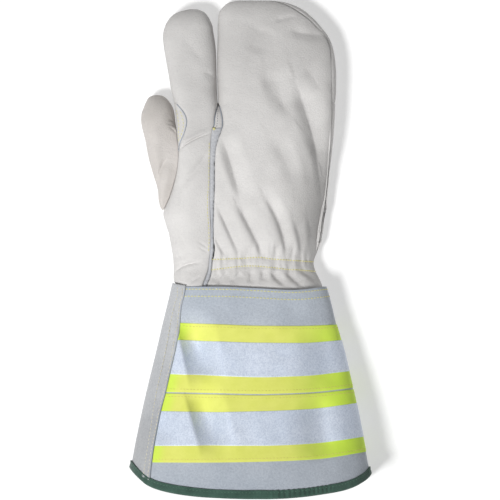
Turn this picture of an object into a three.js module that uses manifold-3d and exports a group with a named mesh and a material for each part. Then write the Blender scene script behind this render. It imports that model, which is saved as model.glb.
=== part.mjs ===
// A cut-resistant mitt for the right hand: a leather hand with a thumb, an index
// finger and a pocket for the other three, a gathered wrist, and a split-leather
// gauntlet with two reflective tapes and a bound hem. Millimetres, +Z up, the palm
// lies on the ground, the fingers point along +Y and the thumb is on the -X side.
import * as THREE from "three";
import Module from "manifold-3d";

const kernel = await Module();
kernel.setup();

// ---- driving dimensions ------------------------------------------------------
const WALL = 1.9;                 // hand leather with its lining
const CUFF_WALL = 1.8;            // gauntlet leather
const HALF_GAP = 0.16;            // half the clearance left at each seam
const TIP_RADIUS = 17;            // rounding of the pocket and index tips
const THUMB_TIP_RADIUS = 16;
const THUMB_ROUND = 2.25;
const THUMB_LOWER_ROUND = 2.8;
const LOWER_ROUND = 3.4;          // squareness of the underside corners
const CUFF_LOWER_ROUND = 3.0;
const SAG = 2.2;                  // how much the underside is flattened by the floor
const FLANK_SHARE = 0.2;          // share of the columns in the turned-up flank
const STRIP_CROWN = 0.7;
const POCKET_TIP_Y = 225.4;
const INDEX_TIP_Y = 217.7;
const THUMB_TIP_Y = 139.9;
const CROTCH_Y = 132.5;           // between index finger and pocket
const PATCH_END_Y = 109.5;        // where the crotch patch gives way to the seam strip
const CRESCENT_TOP = 132.4;       // ends of the curved patch by the thumb
const CRESCENT_END = 88.2;
const THUMB_OPEN_TOP = 98;        // thumb opens into the hand below this
const THUMB_END_Y = 36.2;
const HAND_END_Y = -46;           // hand panels end inside the gauntlet
const HEM_ROUND = 2.1;            // roundness of the gauntlet's upper half at the hem
const HEM_LIFT = 1.3;             // the hem binding lies under the gauntlet leather
const HEM_LIFT_Y = -172;
const PALM_TOP_Y = -33.8;
const RIGHT_SEAM_Z = 8;           // height of the gauntlet's right seam
const LAP_LIFT = 1.0;
const TAPE_LIFT = 0.9;
const TAPE_WALL = 0.6;
const SILVER_LIFT = 1.7;
const SILVER_WALL = 0.5;
const BIND = 1.0;                 // binding thickness
const BIND_HEIGHT = 7.6;
const FOLD_LEAST_WIDTH = 5.0;     // folds finer than this are drawn this wide here
const FOLD_LEAST_DEPTH = 1.2;
const FOLD_SHARE = 0.7;
const HAND_ROWS = 20;              // shared rows along the hand
const CUFF_COLS = 22;              // columns round each half of the gauntlet
const TURN = Math.PI * 2;

// ---- shape tables, all in mm ---------------------------------------------------
const POCKET = table(["y", "left", "right"], [
  [225.4, -10.3, 16.6],
  [223.7, -18.3, 30.5],
  [221.9, -21.9, 36.9],
  [218.3, -25.5, 45.0],
  [214.7, -28.0, 50.6],
  [211.1, -28.9, 54.6],
  [207.5, -29.2, 58.6],
  [200.2, -29.5, 64.9],
  [193.0, -29.5, 70.3],
  [185.8, -29.6, 73.7],
  [174.9, -29.9, 76.3],
  [157.8, -29.8, 77.8],
  [144.2, -29.5, 77.7],
  [132.5, -29.0, 77.0],
  [111.7, -29.0, 76.0],
  [90.0, -29.0, 74.1],
  [68.3, -29.1, 71.4],
  [46.6, -29.1, 68.8],
  [24.9, -29.1, 65.1],
  [8.7, -29.1, 62.9],
  [-2.2, -29.1, 60.5],
  [-7.6, -29.1, 58.4],
  [-12.1, -29.1, 57.3],
  [-18.4, -29.1, 58.6],
  [-24.8, -29.1, 61.6],
  [-31.1, -29.1, 64.5],
  [-47.3, -29.1, 68.0],
]);
const INDEX = table(["y", "left", "right"], [
  [217.7, -53.9, -48.5],
  [216.5, -58.9, -45.4],
  [214.7, -65.2, -41.7],
  [212.0, -70.0, -39.0],
  [207.5, -74.1, -36.3],
  [202.0, -77.0, -34.1],
  [196.6, -78.5, -33.3],
  [191.2, -79.0, -32.4],
  [184.0, -78.3, -31.4],
  [173.1, -76.5, -30.8],
  [157.8, -73.8, -30.5],
  [144.2, -71.5, -30.2],
  [132.5, -68.8, -29.5],
]);
const THUMB = table(["y", "left", "right"], [
  [139.9, -86.0, -82.0],
  [138.8, -89.6, -78.8],
  [137.0, -92.1, -76.1],
  [133.4, -94.2, -72.9],
  [127.9, -96.5, -69.8],
  [122.5, -98.3, -68.5],
  [117.1, -98.7, -68.0],
  [110.8, -97.8, -67.6],
  [104.5, -96.3, -67.2],
  [97.2, -94.5, -66.5],
  [91.4, -93.5, -65.6],
  [84.6, -92.2, -65.2],
  [76.4, -90.2, -65.8],
  [68.3, -87.8, -66.9],
  [57.5, -84.4, -69.5],
  [52.0, -83.3, -71.2],
  [46.6, -83.0, -73.1],
  [41.2, -82.1, -75.5],
  [36.2, -80.6, -77.7],
]);
const HANDLEFT = table(["y", "x", "z"], [
  [132.5, -68.8, 21],
  [126.1, -67.8, 24],
  [118.9, -67.2, 26.5],
  [111.7, -66.8, 28.8],
  [104.5, -66.2, 31],
  [97.2, -65.4, 33],
  [91.4, -64.8, 34.6],
  [84.6, -64.9, 35.6],
  [76.4, -65.6, 35.8],
  [68.3, -66.8, 35],
  [57.5, -69.5, 32.4],
  [46.6, -73.1, 28.2],
  [41.2, -75.5, 25.4],
  [36.2, -77.7, 22.6],
  [32.2, -78.6, 21.2],
  [24.9, -77.0, 20.5],
  [14.1, -73.6, 19],
  [3.3, -71.6, 18],
  [-7.6, -69.8, 17],
  [-13.0, -69.4, 16.8],
  [-18.4, -69.1, 17],
  [-24.8, -69.4, 17.6],
  [-28.4, -69.0, 17.8],
  [-32.0, -67.2, 18],
  [-47.3, -68.5, 18.5],
]);
const SEAM = table(["y", "left", "right", "z"], [
  [132.5, -29.4, -29.2, 22.5],
  [129.8, -29.8, -27.7, 28],
  [126.6, -30.7, -26.7, 32.5],
  [123.4, -31.4, -25.8, 35.6],
  [118.5, -32.3, -25.0, 38.3],
  [113.5, -32.5, -24.7, 40],
  [108.1, -34.1, -25.9, 41.6],
  [100.8, -35.2, -28.6, 43],
  [90.0, -35.6, -31.4, 44.2],
  [76.4, -36.1, -32.2, 45.4],
  [61.1, -36.1, -32.1, 46],
  [44.8, -36.3, -32.7, 45.2],
  [32.2, -36.0, -33.1, 43.6],
  [22.2, -35.4, -33.5, 42],
  [10.5, -35.3, -33.2, 40],
  [-0.4, -36.0, -33.0, 38.2],
  [-7.6, -36.7, -34.0, 36.6],
  [-13.0, -37.1, -34.5, 36.8],
  [-18.4, -37.8, -34.9, 37],
  [-24.8, -39.9, -36.1, 38],
  [-31.1, -42.3, -38.9, 39.2],
  [-47.3, -44.9, -41.5, 40.6],
]);
const BACK = table(["y", "pocket", "index", "bottom", "side", "round"], [
  [225.4, 28.5, 29, 0, 17, 3.1],
  [207.5, 31.4, 31, 0, 17.4, 3.1],
  [184.9, 36.2, 33.4, 0, 18, 3.2],
  [157.8, 41.8, 36.2, 0, 18, 3.4],
  [132.5, 45.4, 39.7, 0, 18, 3.3],
  [112.6, 47.4, 43, 0, 18, 3.1],
  [90.0, 48.8, 46, 0, 17.2, 2.8],
  [62.9, 50.2, 47.6, 0, 14, 2.35],
  [35.8, 48.8, 45.6, 0, 10.6, 2.15],
  [13.2, 45.4, 42.4, 0, 9.8, 2.05],
  [-0.4, 41.8, 39.6, 0, 10.4, 2.05],
  [-7.6, 39.8, 38, 0, 11.6, 2.05],
  [-13.0, 40, 38.2, 0, 12.8, 2.05],
  [-18.4, 40.6, 38.8, 0.2, 14.4, 2.1],
  [-24.8, 42.4, 40.6, 1, 16.8, 2.15],
  [-31.1, 44, 41.8, 2.7, 19.2, 2.2],
  [-47.3, 46.2, 43.8, 3.2, 20.4, 2.2],
]);
const DORSAL = table(["y", "x"], [
  [225.4, 16.1],
  [223.3, 27.3],
  [219.2, 37.3],
  [213.5, 46.6],
  [207.9, 54.3],
  [200.6, 61.4],
  [191.4, 69.4],
  [184.9, 72.1],
  [177.6, 73.7],
  [151.8, 74.5],
  [124.3, 74.5],
  [105.6, 73.7],
  [90.0, 72.6],
  [68.3, 70.8],
  [46.6, 68.4],
  [24.9, 64.7],
  [8.7, 62.5],
  [-2.2, 60.2],
  [-7.6, 58.0],
  [-12.1, 56.9],
  [-18.4, 58.2],
  [-24.8, 61.3],
  [-31.1, 64.2],
  [-47.3, 67.7],
]);
const CRESCENT = table(["y", "x"], [
  [132.5, -67.4],
  [129.8, -64.9],
  [124.5, -60.6],
  [119.3, -58.0],
  [115.2, -57.3],
  [109.0, -58.4],
  [101.7, -61.0],
  [97.5, -62.9],
  [93.3, -64.1],
  [88.2, -64.4],
]);
const THUMBTOP = table(["y", "crown", "side"], [
  [139.9, 27, 15],
  [127.9, 30, 15],
  [117.1, 32.5, 15.5],
  [104.5, 34, 16],
  [91.4, 35.8, 16.8],
  [81.0, 36.8, 17.6],
  [68.3, 36.2, 18.6],
  [57.5, 33.6, 19.4],
  [46.6, 29.2, 20.2],
  [41.2, 26.2, 20.7],
  [36.2, 23.4, 21],
]);
const CUFF = table(["y", "left", "right", "top", "side", "round"], [
  [-27.5, -69.6, 67.2, 47.4, 20.5, 2.8],
  [-45.5, -73.8, 72.5, 52, 22, 2.65],
  [-67.2, -79.2, 77.7, 57.8, 24, 2.5],
  [-88.9, -84.2, 83.9, 63.2, 26, 2.4],
  [-110.6, -89.5, 89.2, 68.4, 28, 2.3],
  [-132.3, -94.7, 94.2, 73.8, 30.2, 2.25],
  [-154.0, -99.4, 98.7, 79, 32.4, 2.2],
  [-175.7, -103.9, 103.0, 83.8, 34.4, 2.15],
  [-199.2, -108.1, 107.6, 88.4, 36.4, 2.1],
  [-228.1, -113.7, 113.1, 93, 38.6, 2.1],
]);
const LAP = table(["y", "x"], [
  [-27.5, -57.7],
  [-40.1, -59.1],
  [-51.0, -61.7],
  [-66.3, -63.4],
  [-80.8, -65.3],
  [-112.4, -72.2],
  [-128.7, -75.9],
  [-144.9, -80.1],
  [-177.5, -86.4],
  [-191.9, -88.4],
  [-208.2, -90.2],
  [-228.1, -91.9],
]);
const LINES = table(["name", "at0", "at25", "at50", "at75", "at100"], [
  ["top_edge", -33.7, -33.8, -35.1, -36.7, -33.8],
  ["upper_start", -66.3, -67.5, -68.8, -69.0, -67.9],
  ["upper_silver_start", -81.7, -83.0, -84.2, -84.4, -82.1],
  ["upper_silver_end", -112.4, -113.8, -115.1, -113.9, -109.9],
  ["upper_end", -128.3, -129.1, -129.9, -128.7, -124.7],
  ["lower_start", -129.8, -130.6, -131.4, -130.1, -126.3],
  ["lower_silver_start", -145.8, -146.5, -145.8, -143.8, -138.8],
  ["lower_silver_end", -177.0, -176.6, -176.6, -174.8, -168.9],
  ["lower_end", -191.7, -191.6, -190.8, -188.9, -182.3],
]);
const FOLDS = table(["panel", "name", "x0", "y0", "x1", "y1", "x2", "y2", "width", "depth"], [
  ["back", "tip_cloud", 10.7, 203.9, 5.2, 191.2, -0.2, 176.7, 8.1, -1.8],
  ["back", "mid_cloud", 14.3, 160.5, 23.3, 140.6, 36.9, 120.7, 7.2, -4.4],
  ["back", "side_cloud", 49.5, 165.9, 56.7, 155.1, 64.9, 142.4, 5.9, -1.8],
  ["back", "long_fold", 40.5, 153.3, 52.7, 115.3, 61.7, 81.0, 7.6, -6.2],
  ["back", "long_fold_low", 55.8, 100.8, 61.3, 73.7, 65.3, 37.6, 3.4, -3.2],
  ["back", "soft_cross", 17.9, 102.6, 31.4, 81.0, 37.8, 57.5, 7.2, -2.4],
  ["back", "long_low", 64.0, 55.7, 62.2, 26.7, 56.7, -2.2, 5.9, -3.6],
  ["back", "long_ridge", 32.3, 106.3, 44.1, 81.0, 51.3, 42.1, 5.4, 0.9],
  ["back", "hand_soft", -26.4, 101.7, -16.4, 73.7, -8.3, 39.4, 4.9, -3.2],
  ["back", "hand_ridge", -29.1, 90.0, -18.3, 61.1, -3.8, 39.4, 4.5, 0.7],
  ["back", "hand_low", -11.9, 40.3, -0.2, 19.5, 12.0, -5.8, 2.6, -3.4],
  ["back", "hand_low_ridge", -16.4, 36.7, -5.6, 16.8, 5.7, -5.8, 3.3, 0.5],
  ["back", "seam_diagonal", -30.0, 39.4, -19.2, 15.9, -9.7, -5.8, 2.3, -2.8],
  ["back", "mid_fold", 11.6, 50.2, 26.6, 21.3, 32.3, -7.6, 2.4, -4.0],
  ["back", "mid_ridge", 10.7, 34.0, 20.6, 17.7, 25.6, -6.7, 2.9, 0.5],
  ["back", "right_a", 38.7, 27.7, 44.1, 10.5, 45.7, -4.9, 2.1, -2.3],
  ["back", "right_b", 51.8, 30.4, 54.5, 11.4, 51.8, -6.7, 2.7, -2.6],
  ["back", "seam_small", -31.5, 12.3, -27.3, 1.9, -21.0, -6.7, 1.7, -1.9],
  ["back", "tuck_a", 22.2, 5.1, 22.6, -1.3, 22.2, -7.6, 1.4, -1.4],
  ["back", "tuck_b", 7.0, 6.0, 8.5, -1.3, 9.8, -7.6, 1.4, -1.2],
  ["back", "tuck_c", -2.9, 3.3, -1.4, -2.2, -0.5, -7.6, 1.4, -1.0],
  ["back", "tuck_d", 37.8, 5.1, 38.3, -1.3, 37.8, -7.6, 1.4, -1.1],
  ["back", "below_a", 19.6, -19.3, 23.3, -26.1, 33.3, -33.3, 2.1, -2.6],
  ["back", "below_b", 31.1, -19.3, 38.7, -27.0, 48.6, -34.7, 2.1, -2.7],
  ["back", "below_c", 44.4, -19.3, 53.1, -24.3, 60.8, -32.9, 2.1, -3.0],
  ["back", "below_d", 9.8, -18.9, 11.0, -23.0, 9.8, -28.4, 1.7, -1.8],
  ["back", "below_e", -8.9, -20.2, -12.8, -24.8, -18.7, -29.7, 1.6, -1.7],
  ["back", "below_f", -19.8, -19.3, -25.5, -25.7, -30.5, -32.9, 1.8, -1.8],
  ["back", "below_g", -27.0, -19.8, -31.4, -23.9, -35.0, -28.8, 1.6, -1.3],
  ["back", "below_h", -0.2, -19.8, 0.2, -24.8, -2.0, -30.2, 1.6, -1.4],
  ["back", "corner_fold", 36.0, 197.5, 51.3, 194.8, 70.3, 193.0, 5.2, -1.9],
  ["back", "tip_crease", 22.4, 206.1, 30.5, 208.9, 42.3, 210.9, 3.1, -1.3],
  ["index", "base_crease", -63.8, 90.5, -51.7, 99.0, -35.0, 105.5, 0.9, -2.2],
  ["index", "base_ridge", -61.6, 95.8, -49.9, 102.6, -37.2, 108.5, 2.5, 0.9],
  ["index", "hand_band", -37.2, 89.1, -48.1, 73.7, -62.5, 56.6, 3.8, -1.6],
  ["index", "wrist_crease", -67.6, -21.0, -59.8, -14.5, -45.4, -11.4, 1.4, -2.8],
  ["index", "wrist_ridge", -67.0, -13.9, -58.0, -8.5, -44.5, -5.8, 3.4, 1.3],
  ["index", "wrist_low", -54.4, -30.5, -49.0, -26.6, -44.8, -23.0, 1.3, -1.1],
  ["index", "seam_wrinkle", -47.6, 7.3, -42.6, 4.5, -38.1, 1.6, 1.1, -0.8],
  ["index", "seam_wrinkle_b", -46.3, 2.3, -41.7, -0.4, -37.7, -2.2, 1.1, -0.7],
  ["index", "finger_crease", -30.9, 155.1, -35.9, 157.8, -42.2, 160.9, 3.9, -1.0],
  ["index", "finger_soft", -58.0, 191.2, -51.7, 180.4, -42.6, 171.3, 5.4, -0.9],
  ["thumb", "puff_valley", -74.7, 83.2, -81.0, 71.9, -83.1, 57.5, 2.2, -2.2],
  ["thumb", "puff_ridge", -70.7, 78.3, -75.6, 62.9, -79.3, 44.8, 4.5, 1.5],
  ["thumb", "side_wrinkle", -73.4, 110.8, -69.5, 108.3, -67.0, 105.0, 1.0, -1.3],
  ["thumb", "side_wrinkle_b", -75.2, 113.9, -71.1, 112.9, -68.4, 110.8, 0.9, -1.0],
  ["thumb", "side_wrinkle_c", -73.8, 118.0, -70.7, 116.6, -68.0, 114.0, 0.9, -0.9],
  ["cuff", "dent_upper", -65.2, -72.6, -60.3, -92.5, -54.4, -123.3, 5.4, -7.2],
  ["cuff", "dent_lower", -59.8, -135.9, -52.1, -157.6, -43.6, -184.7, 5.8, -7.4],
  ["cuff", "dent_lap", -86.0, -143.1, -86.9, -161.2, -89.2, -179.3, 3.6, -2.2],
  ["cuff", "dent_right", 64.9, -72.6, 70.3, -95.2, 74.8, -121.4, 12.7, -3.8],
  ["cuff", "dent_right_low", 46.8, -135.9, 50.4, -159.4, 54.9, -182.9, 9.9, -3.4],
  ["cuff", "top_soft", 32.3, -45.5, 37.8, -56.4, 45.0, -65.4, 8.1, -1.0],
]);
const HEM = [[0, -197.9], [0.02, -202.3], [0.045, -206.9], [0.08, -212.3], [0.125, -216.2], [0.175, -218.8], [0.25, -221.4], [0.35, -223.3], [0.5, -224.3], [0.6, -224.2], [0.7, -222.8], [0.8, -220.0], [0.86, -217.9], [0.92, -214.3], [0.96, -210.1], [0.985, -206.7], [1, -203.5]];

// ---- interpolation ---------------------------------------------------------
function table(names, rows) {
  const t = { rows, col: {} };
  if (typeof rows[0][0] === "number") {
    names.slice(1).forEach((name, k) => (t.col[name] = curve(rows.map((r) => -r[0]), rows.map((r) => r[k + 1]))));
  } else {
    t.list = rows.map((r) => Object.fromEntries(names.map((n, k) => [n, r[k]])));
  }
  return t;
}

// monotone cubic through the rows
function curve(xs, ys) {
  const n = xs.length, d = [], m = new Array(n).fill(0);
  for (let i = 0; i < n - 1; i++) d.push((ys[i + 1] - ys[i]) / (xs[i + 1] - xs[i]));
  m[0] = d[0]; m[n - 1] = d[n - 2];
  for (let i = 1; i < n - 1; i++) {
    if (d[i - 1] * d[i] <= 0) continue;
    const h0 = xs[i] - xs[i - 1], h1 = xs[i + 1] - xs[i], w1 = 2 * h1 + h0, w2 = h1 + 2 * h0;
    m[i] = (w1 + w2) / (w1 / d[i - 1] + w2 / d[i]);
  }
  return (x) => {
    if (x <= xs[0]) return ys[0];
    if (x >= xs[n - 1]) return ys[n - 1];
    let i = 0;
    while (x > xs[i + 1]) i++;
    const h = xs[i + 1] - xs[i], t = (x - xs[i]) / h, t2 = t * t, t3 = t2 * t;
    return ys[i] * (2 * t3 - 3 * t2 + 1) + m[i] * h * (t3 - 2 * t2 + t) + ys[i + 1] * (3 * t2 - 2 * t3) + m[i + 1] * h * (t3 - t2);
  };
}

const at = (t, y, name) => t.col[name](-y);
const mix = (a, b, t) => a + (b - a) * t;
const clamp = (x, a, b) => Math.min(b, Math.max(a, x));
const smooth = (a, b, x) => { const t = clamp((x - a) / (b - a), 0, 1); return t * t * (3 - 2 * t); };

// ---- folds -----------------------------------------------------------------
function foldHeight(panel, x, y) {
  let z = 0;
  for (const f of FOLDS.list) {
    if (f.panel !== panel) continue;
    if (Math.abs(f.depth) < FOLD_LEAST_DEPTH) continue;
    const w = Math.max(f.width, FOLD_LEAST_WIDTH);
    let best = 1e9, bt = 0, px = f.x0, py = f.y0;
    for (let k = 1; k <= 6; k++) {
      const t = k / 6, a = (1 - t) * (1 - t), b = 2 * t * (1 - t), c = t * t;
      const qx = a * f.x0 + b * f.x1 + c * f.x2, qy = a * f.y0 + b * f.y1 + c * f.y2;
      const ex = qx - px, ey = qy - py;
      const s = clamp(((x - px) * ex + (y - py) * ey) / (ex * ex + ey * ey), 0, 1);
      const d = Math.hypot(x - px - s * ex, y - py - s * ey);
      if (d < best) { best = d; bt = (k - 1 + s) / 6; }
      px = qx; py = qy;
    }
    if (best > 2.5 * w) continue;
    const ends = smooth(-0.02, 0.3, bt) * smooth(1.02, 0.7, bt);
    z += f.depth * FOLD_SHARE * Math.exp(-((best / w) ** 2)) * (0.3 + 0.7 * ends);
  }
  return z;
}

// ---- cross-sections, each one at a given y ----------------------------------
const cap = (d, r) => { const t = 1 - clamp(d / r, 0, 1); return Math.sqrt(Math.max(0, 1 - t * t)); };

function pocketSection(y) {
  const free = y > CROTCH_Y;
  const c = cap(POCKET_TIP_Y - y, TIP_RADIUS);
  const side = at(BACK, y, "side");
  const xl = free ? at(POCKET, y, "left") : at(SEAM, y, "right");
  const xr = at(POCKET, y, "right");
  return {
    xl, xr, xc: mix(xl, xr, 0.46), zl: free ? side : at(SEAM, y, "z"), zr: side,
    top: mix(side, at(BACK, y, "pocket"), c), floor: mix(side, at(BACK, y, "bottom"), c), n: at(BACK, y, "round"),
  };
}

function indexSection(y) {
  const free = y > CROTCH_Y;
  const c = cap(INDEX_TIP_Y - y, TIP_RADIUS);
  const side = at(BACK, y, "side") - 1;
  const xl = free ? at(INDEX, y, "left") : at(HANDLEFT, y, "x");
  const xr = free ? at(INDEX, y, "right") : at(SEAM, y, "left");
  return {
    xl, xr, xc: mix(xl, xr, free ? 0.5 : mix(0.62, 0.9, smooth(10, -20, y))), zl: free ? side : at(HANDLEFT, y, "z"), zr: free ? side : at(SEAM, y, "z"),
    top: mix(side, at(BACK, y, "index"), c), floor: mix(side, at(BACK, y, "bottom"), c), n: at(BACK, y, "round"),
  };
}

function handSection(row, leftLow) {
  const y = Math.min(row, CROTCH_Y), p = pocketSection(y), xl = at(HANDLEFT, y, "x");
  return { ...p, xl, xc: mix(xl, p.xr, 0.5), zl: leftLow ? p.floor : at(HANDLEFT, y, "z"), rightCentre: p.xc, nl: mix(LOWER_ROUND, 2.6, smooth(-2, -30, y)) };
}

// upper half: angle 0 at the left edge, PI at the right edge
function upper(s, a) {
  const c = Math.cos(a), q = 2 / s.n, r = Math.abs(c) ** q, h = Math.max(0, Math.sin(a)) ** q;
  return c > 0 ? [s.xc - (s.xc - s.xl) * r, s.zl + (s.top - s.zl) * h] : [s.xc + (s.xr - s.xc) * r, s.zr + (s.top - s.zr) * h];
}

function upperAngle(s, x) {
  if (x < s.xc) return Math.acos(clamp((s.xc - x) / (s.xc - s.xl), 0, 1) ** (s.n / 2));
  return Math.PI - Math.acos(clamp((x - s.xc) / (s.xr - s.xc), 0, 1) ** (s.n / 2));
}

// lower half: angle 0 at the right edge, PI at the left edge, flattened on the floor
function lower(s, a, n = s.nl ?? LOWER_ROUND) {
  const c = Math.cos(a), q = 2 / n, r = Math.abs(c) ** q, h = Math.max(0, Math.sin(a)) ** q;
  const side = c > 0 ? s.zr : s.zl;
  const x = c > 0 ? s.xc + (s.xr - s.xc) * r : s.xc - (s.xc - s.xl) * r;
  return [x, Math.max(s.floor, side - (side - s.floor + SAG * smooth(0, 8, side - s.floor)) * h)];
}

// ---- sheets: a surface given a thickness ------------------------------------
function sheet(surface, us, vs, { wall = WALL, lift = () => 0, inside = [0, 0, 20] } = {}) {
  const e = 1e-3;
  const pts = vs.map((v) => us.map((u) => surface(u, v)));
  const out = [], inn = [];
  let sign = 0;
  const normals = vs.map((v) => us.map((u) => {
    const a = surface(Math.min(1, u + e), v), b = surface(Math.max(0, u - e), v);
    const c = surface(u, Math.min(vs[vs.length - 1], v + e)), d = surface(u, Math.max(vs[0], v - e));
    const p = new THREE.Vector3(a[0] - b[0], a[1] - b[1], a[2] - b[2]), q = new THREE.Vector3(c[0] - d[0], c[1] - d[1], c[2] - d[2]);
    return p.cross(q).normalize();
  }));
  const mi = Math.floor(vs.length / 2), mj = Math.floor(us.length / 2), pm = pts[mi][mj];
  const away = typeof inside === "function" ? inside(pm) : inside;
  sign = Math.sign(normals[mi][mj].dot(new THREE.Vector3(pm[0] - away[0], pm[1] - (away[1] === 0 ? pm[1] : away[1]), pm[2] - away[2]))) || 1;
  for (let i = 0; i < vs.length; i++) {
    out.push([]); inn.push([]);
    for (let j = 0; j < us.length; j++) {
      const n = normals[i][j].clone().multiplyScalar(sign), p = pts[i][j], l = lift(us[j], vs[i], p);
      out[i].push([p[0] + n.x * l, p[1] + n.y * l, p[2] + n.z * l]);
      inn[i].push([p[0] + n.x * (l - wall), p[1] + n.y * (l - wall), p[2] + n.z * (l - wall)]);
    }
  }
  return closedSlab(out, inn, sign > 0);
}

function closedSlab(out, inn, facing) {
  const R = out.length, C = out[0].length, pos = [], tri = [];
  for (const g of [out, inn]) for (const row of g) for (const p of row) pos.push(...p);
  const id = (g, i, j) => g * R * C + i * C + j;
  const quad = (a, b, c, d) => (facing ? tri.push(a, b, c, a, c, d) : tri.push(a, c, b, a, d, c));
  for (let i = 0; i < R - 1; i++) for (let j = 0; j < C - 1; j++) {
    quad(id(0, i, j), id(0, i, j + 1), id(0, i + 1, j + 1), id(0, i + 1, j));
    quad(id(1, i, j), id(1, i + 1, j), id(1, i + 1, j + 1), id(1, i, j + 1));
  }
  for (let j = 0; j < C - 1; j++) {
    quad(id(0, 0, j), id(1, 0, j), id(1, 0, j + 1), id(0, 0, j + 1));
    quad(id(0, R - 1, j), id(0, R - 1, j + 1), id(1, R - 1, j + 1), id(1, R - 1, j));
  }
  for (let i = 0; i < R - 1; i++) {
    quad(id(0, i, 0), id(0, i + 1, 0), id(1, i + 1, 0), id(1, i, 0));
    quad(id(0, i, C - 1), id(1, i, C - 1), id(1, i + 1, C - 1), id(0, i + 1, C - 1));
  }
  return geometry(pos, tri);
}

function geometry(pos, tri) {
  const g = new THREE.BufferGeometry();
  g.setAttribute("position", new THREE.Float32BufferAttribute(pos, 3));
  g.setIndex(tri);
  return g;
}

// ---- solids ------------------------------------------------------------------
const solid = (g) => {
  const m = new kernel.Mesh({ numProp: 3, vertProperties: new Float32Array(g.attributes.position.array), triVerts: new Uint32Array(g.index.array) });
  m.merge();
  return new kernel.Manifold(m);
};
const union = (list) => list.map(solid).reduce((a, b) => a.add(b));
const fromSolid = (s) => {
  const m = s.getMesh();
  return geometry(Array.from(m.vertProperties), Array.from(m.triVerts));
};

const steps = (n) => Array.from({ length: n + 1 }, (_, i) => i / n);
// rows from a rounded tip at y0 down to y1, closer together at the tip
function tipRows(y0, y1, tipRows, rows) {
  const list = [];
  for (let k = 0; k < tipRows; k++) list.push(y0 - TIP_RADIUS * (1 - Math.cos((k / tipRows) * Math.PI * 0.5)) - (k === 0 ? 0.02 : 0));
  for (let k = 0; k <= rows; k++) list.push(mix(y0 - TIP_RADIUS, y1, k / rows));
  return list;
}
const rowsBetween = (y0, y1, n) => Array.from({ length: n + 1 }, (_, i) => mix(y0, y1, i / n));
// a surface of (u, row number) made from one of (u, y)
const byRow = (f, ys) => (u, v) => {
  const k = clamp(v, 0, 1) * (ys.length - 1), i = Math.min(ys.length - 2, Math.floor(k));
  return f(u, mix(ys[i], ys[i + 1], k - i));
};
const rowSheet = (f, ys, cols, options) => sheet(byRow(f, ys), steps(cols), steps(ys.length - 1), options);

// back of the pocket side, from the seam strip to the outer seam
function backPoint(u, y) {
  const s = pocketSection(y), free = y > CROTCH_Y;
  s.zl += free ? HALF_GAP : 0;
  if (!free) s.xl += HALF_GAP;
  s.zr += HALF_GAP;
  const end = upperAngle(s, Math.min(s.xr, at(DORSAL, y, "x")) - HALF_GAP);
  const [x, z] = upper(s, mix(0, Math.max(end, Math.PI / 2 + 0.2), u));
  return [x, y, z + foldHeight("back", x, y) * smooth(0, 0.06, u) * smooth(1, 0.94, u)];
}

// back of the index side, from the thumb crease to the seam strip
function indexPoint(u, y) {
  const s = indexSection(y), free = y > CROTCH_Y;
  s.zl += HALF_GAP; 
  if (free) s.zr += HALF_GAP; else s.xr -= HALF_GAP;
  const start = y < CRESCENT_TOP && y > CRESCENT_END ? upperAngle(s, at(CRESCENT, y, "x") + HALF_GAP) : 0;
  const [x, z] = upper(s, mix(start, Math.PI, u));
  return [x, y, z + foldHeight("index", x, y) * smooth(0, 0.1, u) * smooth(1, 0.92, u)];
}

function crescentPoint(u, y) {
  const s = indexSection(y);
  s.zl += HALF_GAP;
  const end = upperAngle(s, at(CRESCENT, y, "x") - HALF_GAP);
  const [x, z] = upper(s, mix(0, end, u));
  return [x, y, z];
}

function stripPoint(u, y) {
  const l = at(SEAM, y, "left") + HALF_GAP, r = at(SEAM, y, "right") - HALF_GAP;
  return [mix(l, r, u), y, at(SEAM, y, "z") + STRIP_CROWN * (1 - (2 * u - 1) ** 2) * smooth(0, 6, CROTCH_Y - y + 2)];
}

// underside of the pocket, with the flank that turns up to the outer seam
function undersidePoint(section, u, y, flank) {
  const s = section(y);
  const lowLeft = s.zl <= s.floor + 0.1;
  const low = { ...s, zl: lowLeft ? s.floor : s.zl - HALF_GAP };
  if (lowLeft) low.xl += HALF_GAP;
  if (!flank) { low.zr -= HALF_GAP; const [x, z] = lower(low, Math.PI * u); return [x, y, z]; }
  const up = { ...s, xc: s.rightCentre ?? s.xc };
  const seam = Math.min(s.xr, at(DORSAL, y, "x"));
  const from = upperAngle(up, seam - HALF_GAP) ;
  const share = FLANK_SHARE;
  if (u < share) {
    const top = Math.PI - from + 0;
    const a = mix(from + (HALF_GAP * 2) / 20, Math.PI, u / share);
    const [x, z] = upper(up, Math.min(Math.PI, a));
    return [x, y, z];
  }
  const [x, z] = lower(low, (Math.PI * (u - share)) / (1 - share));
  return [x, y, z];
}

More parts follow.
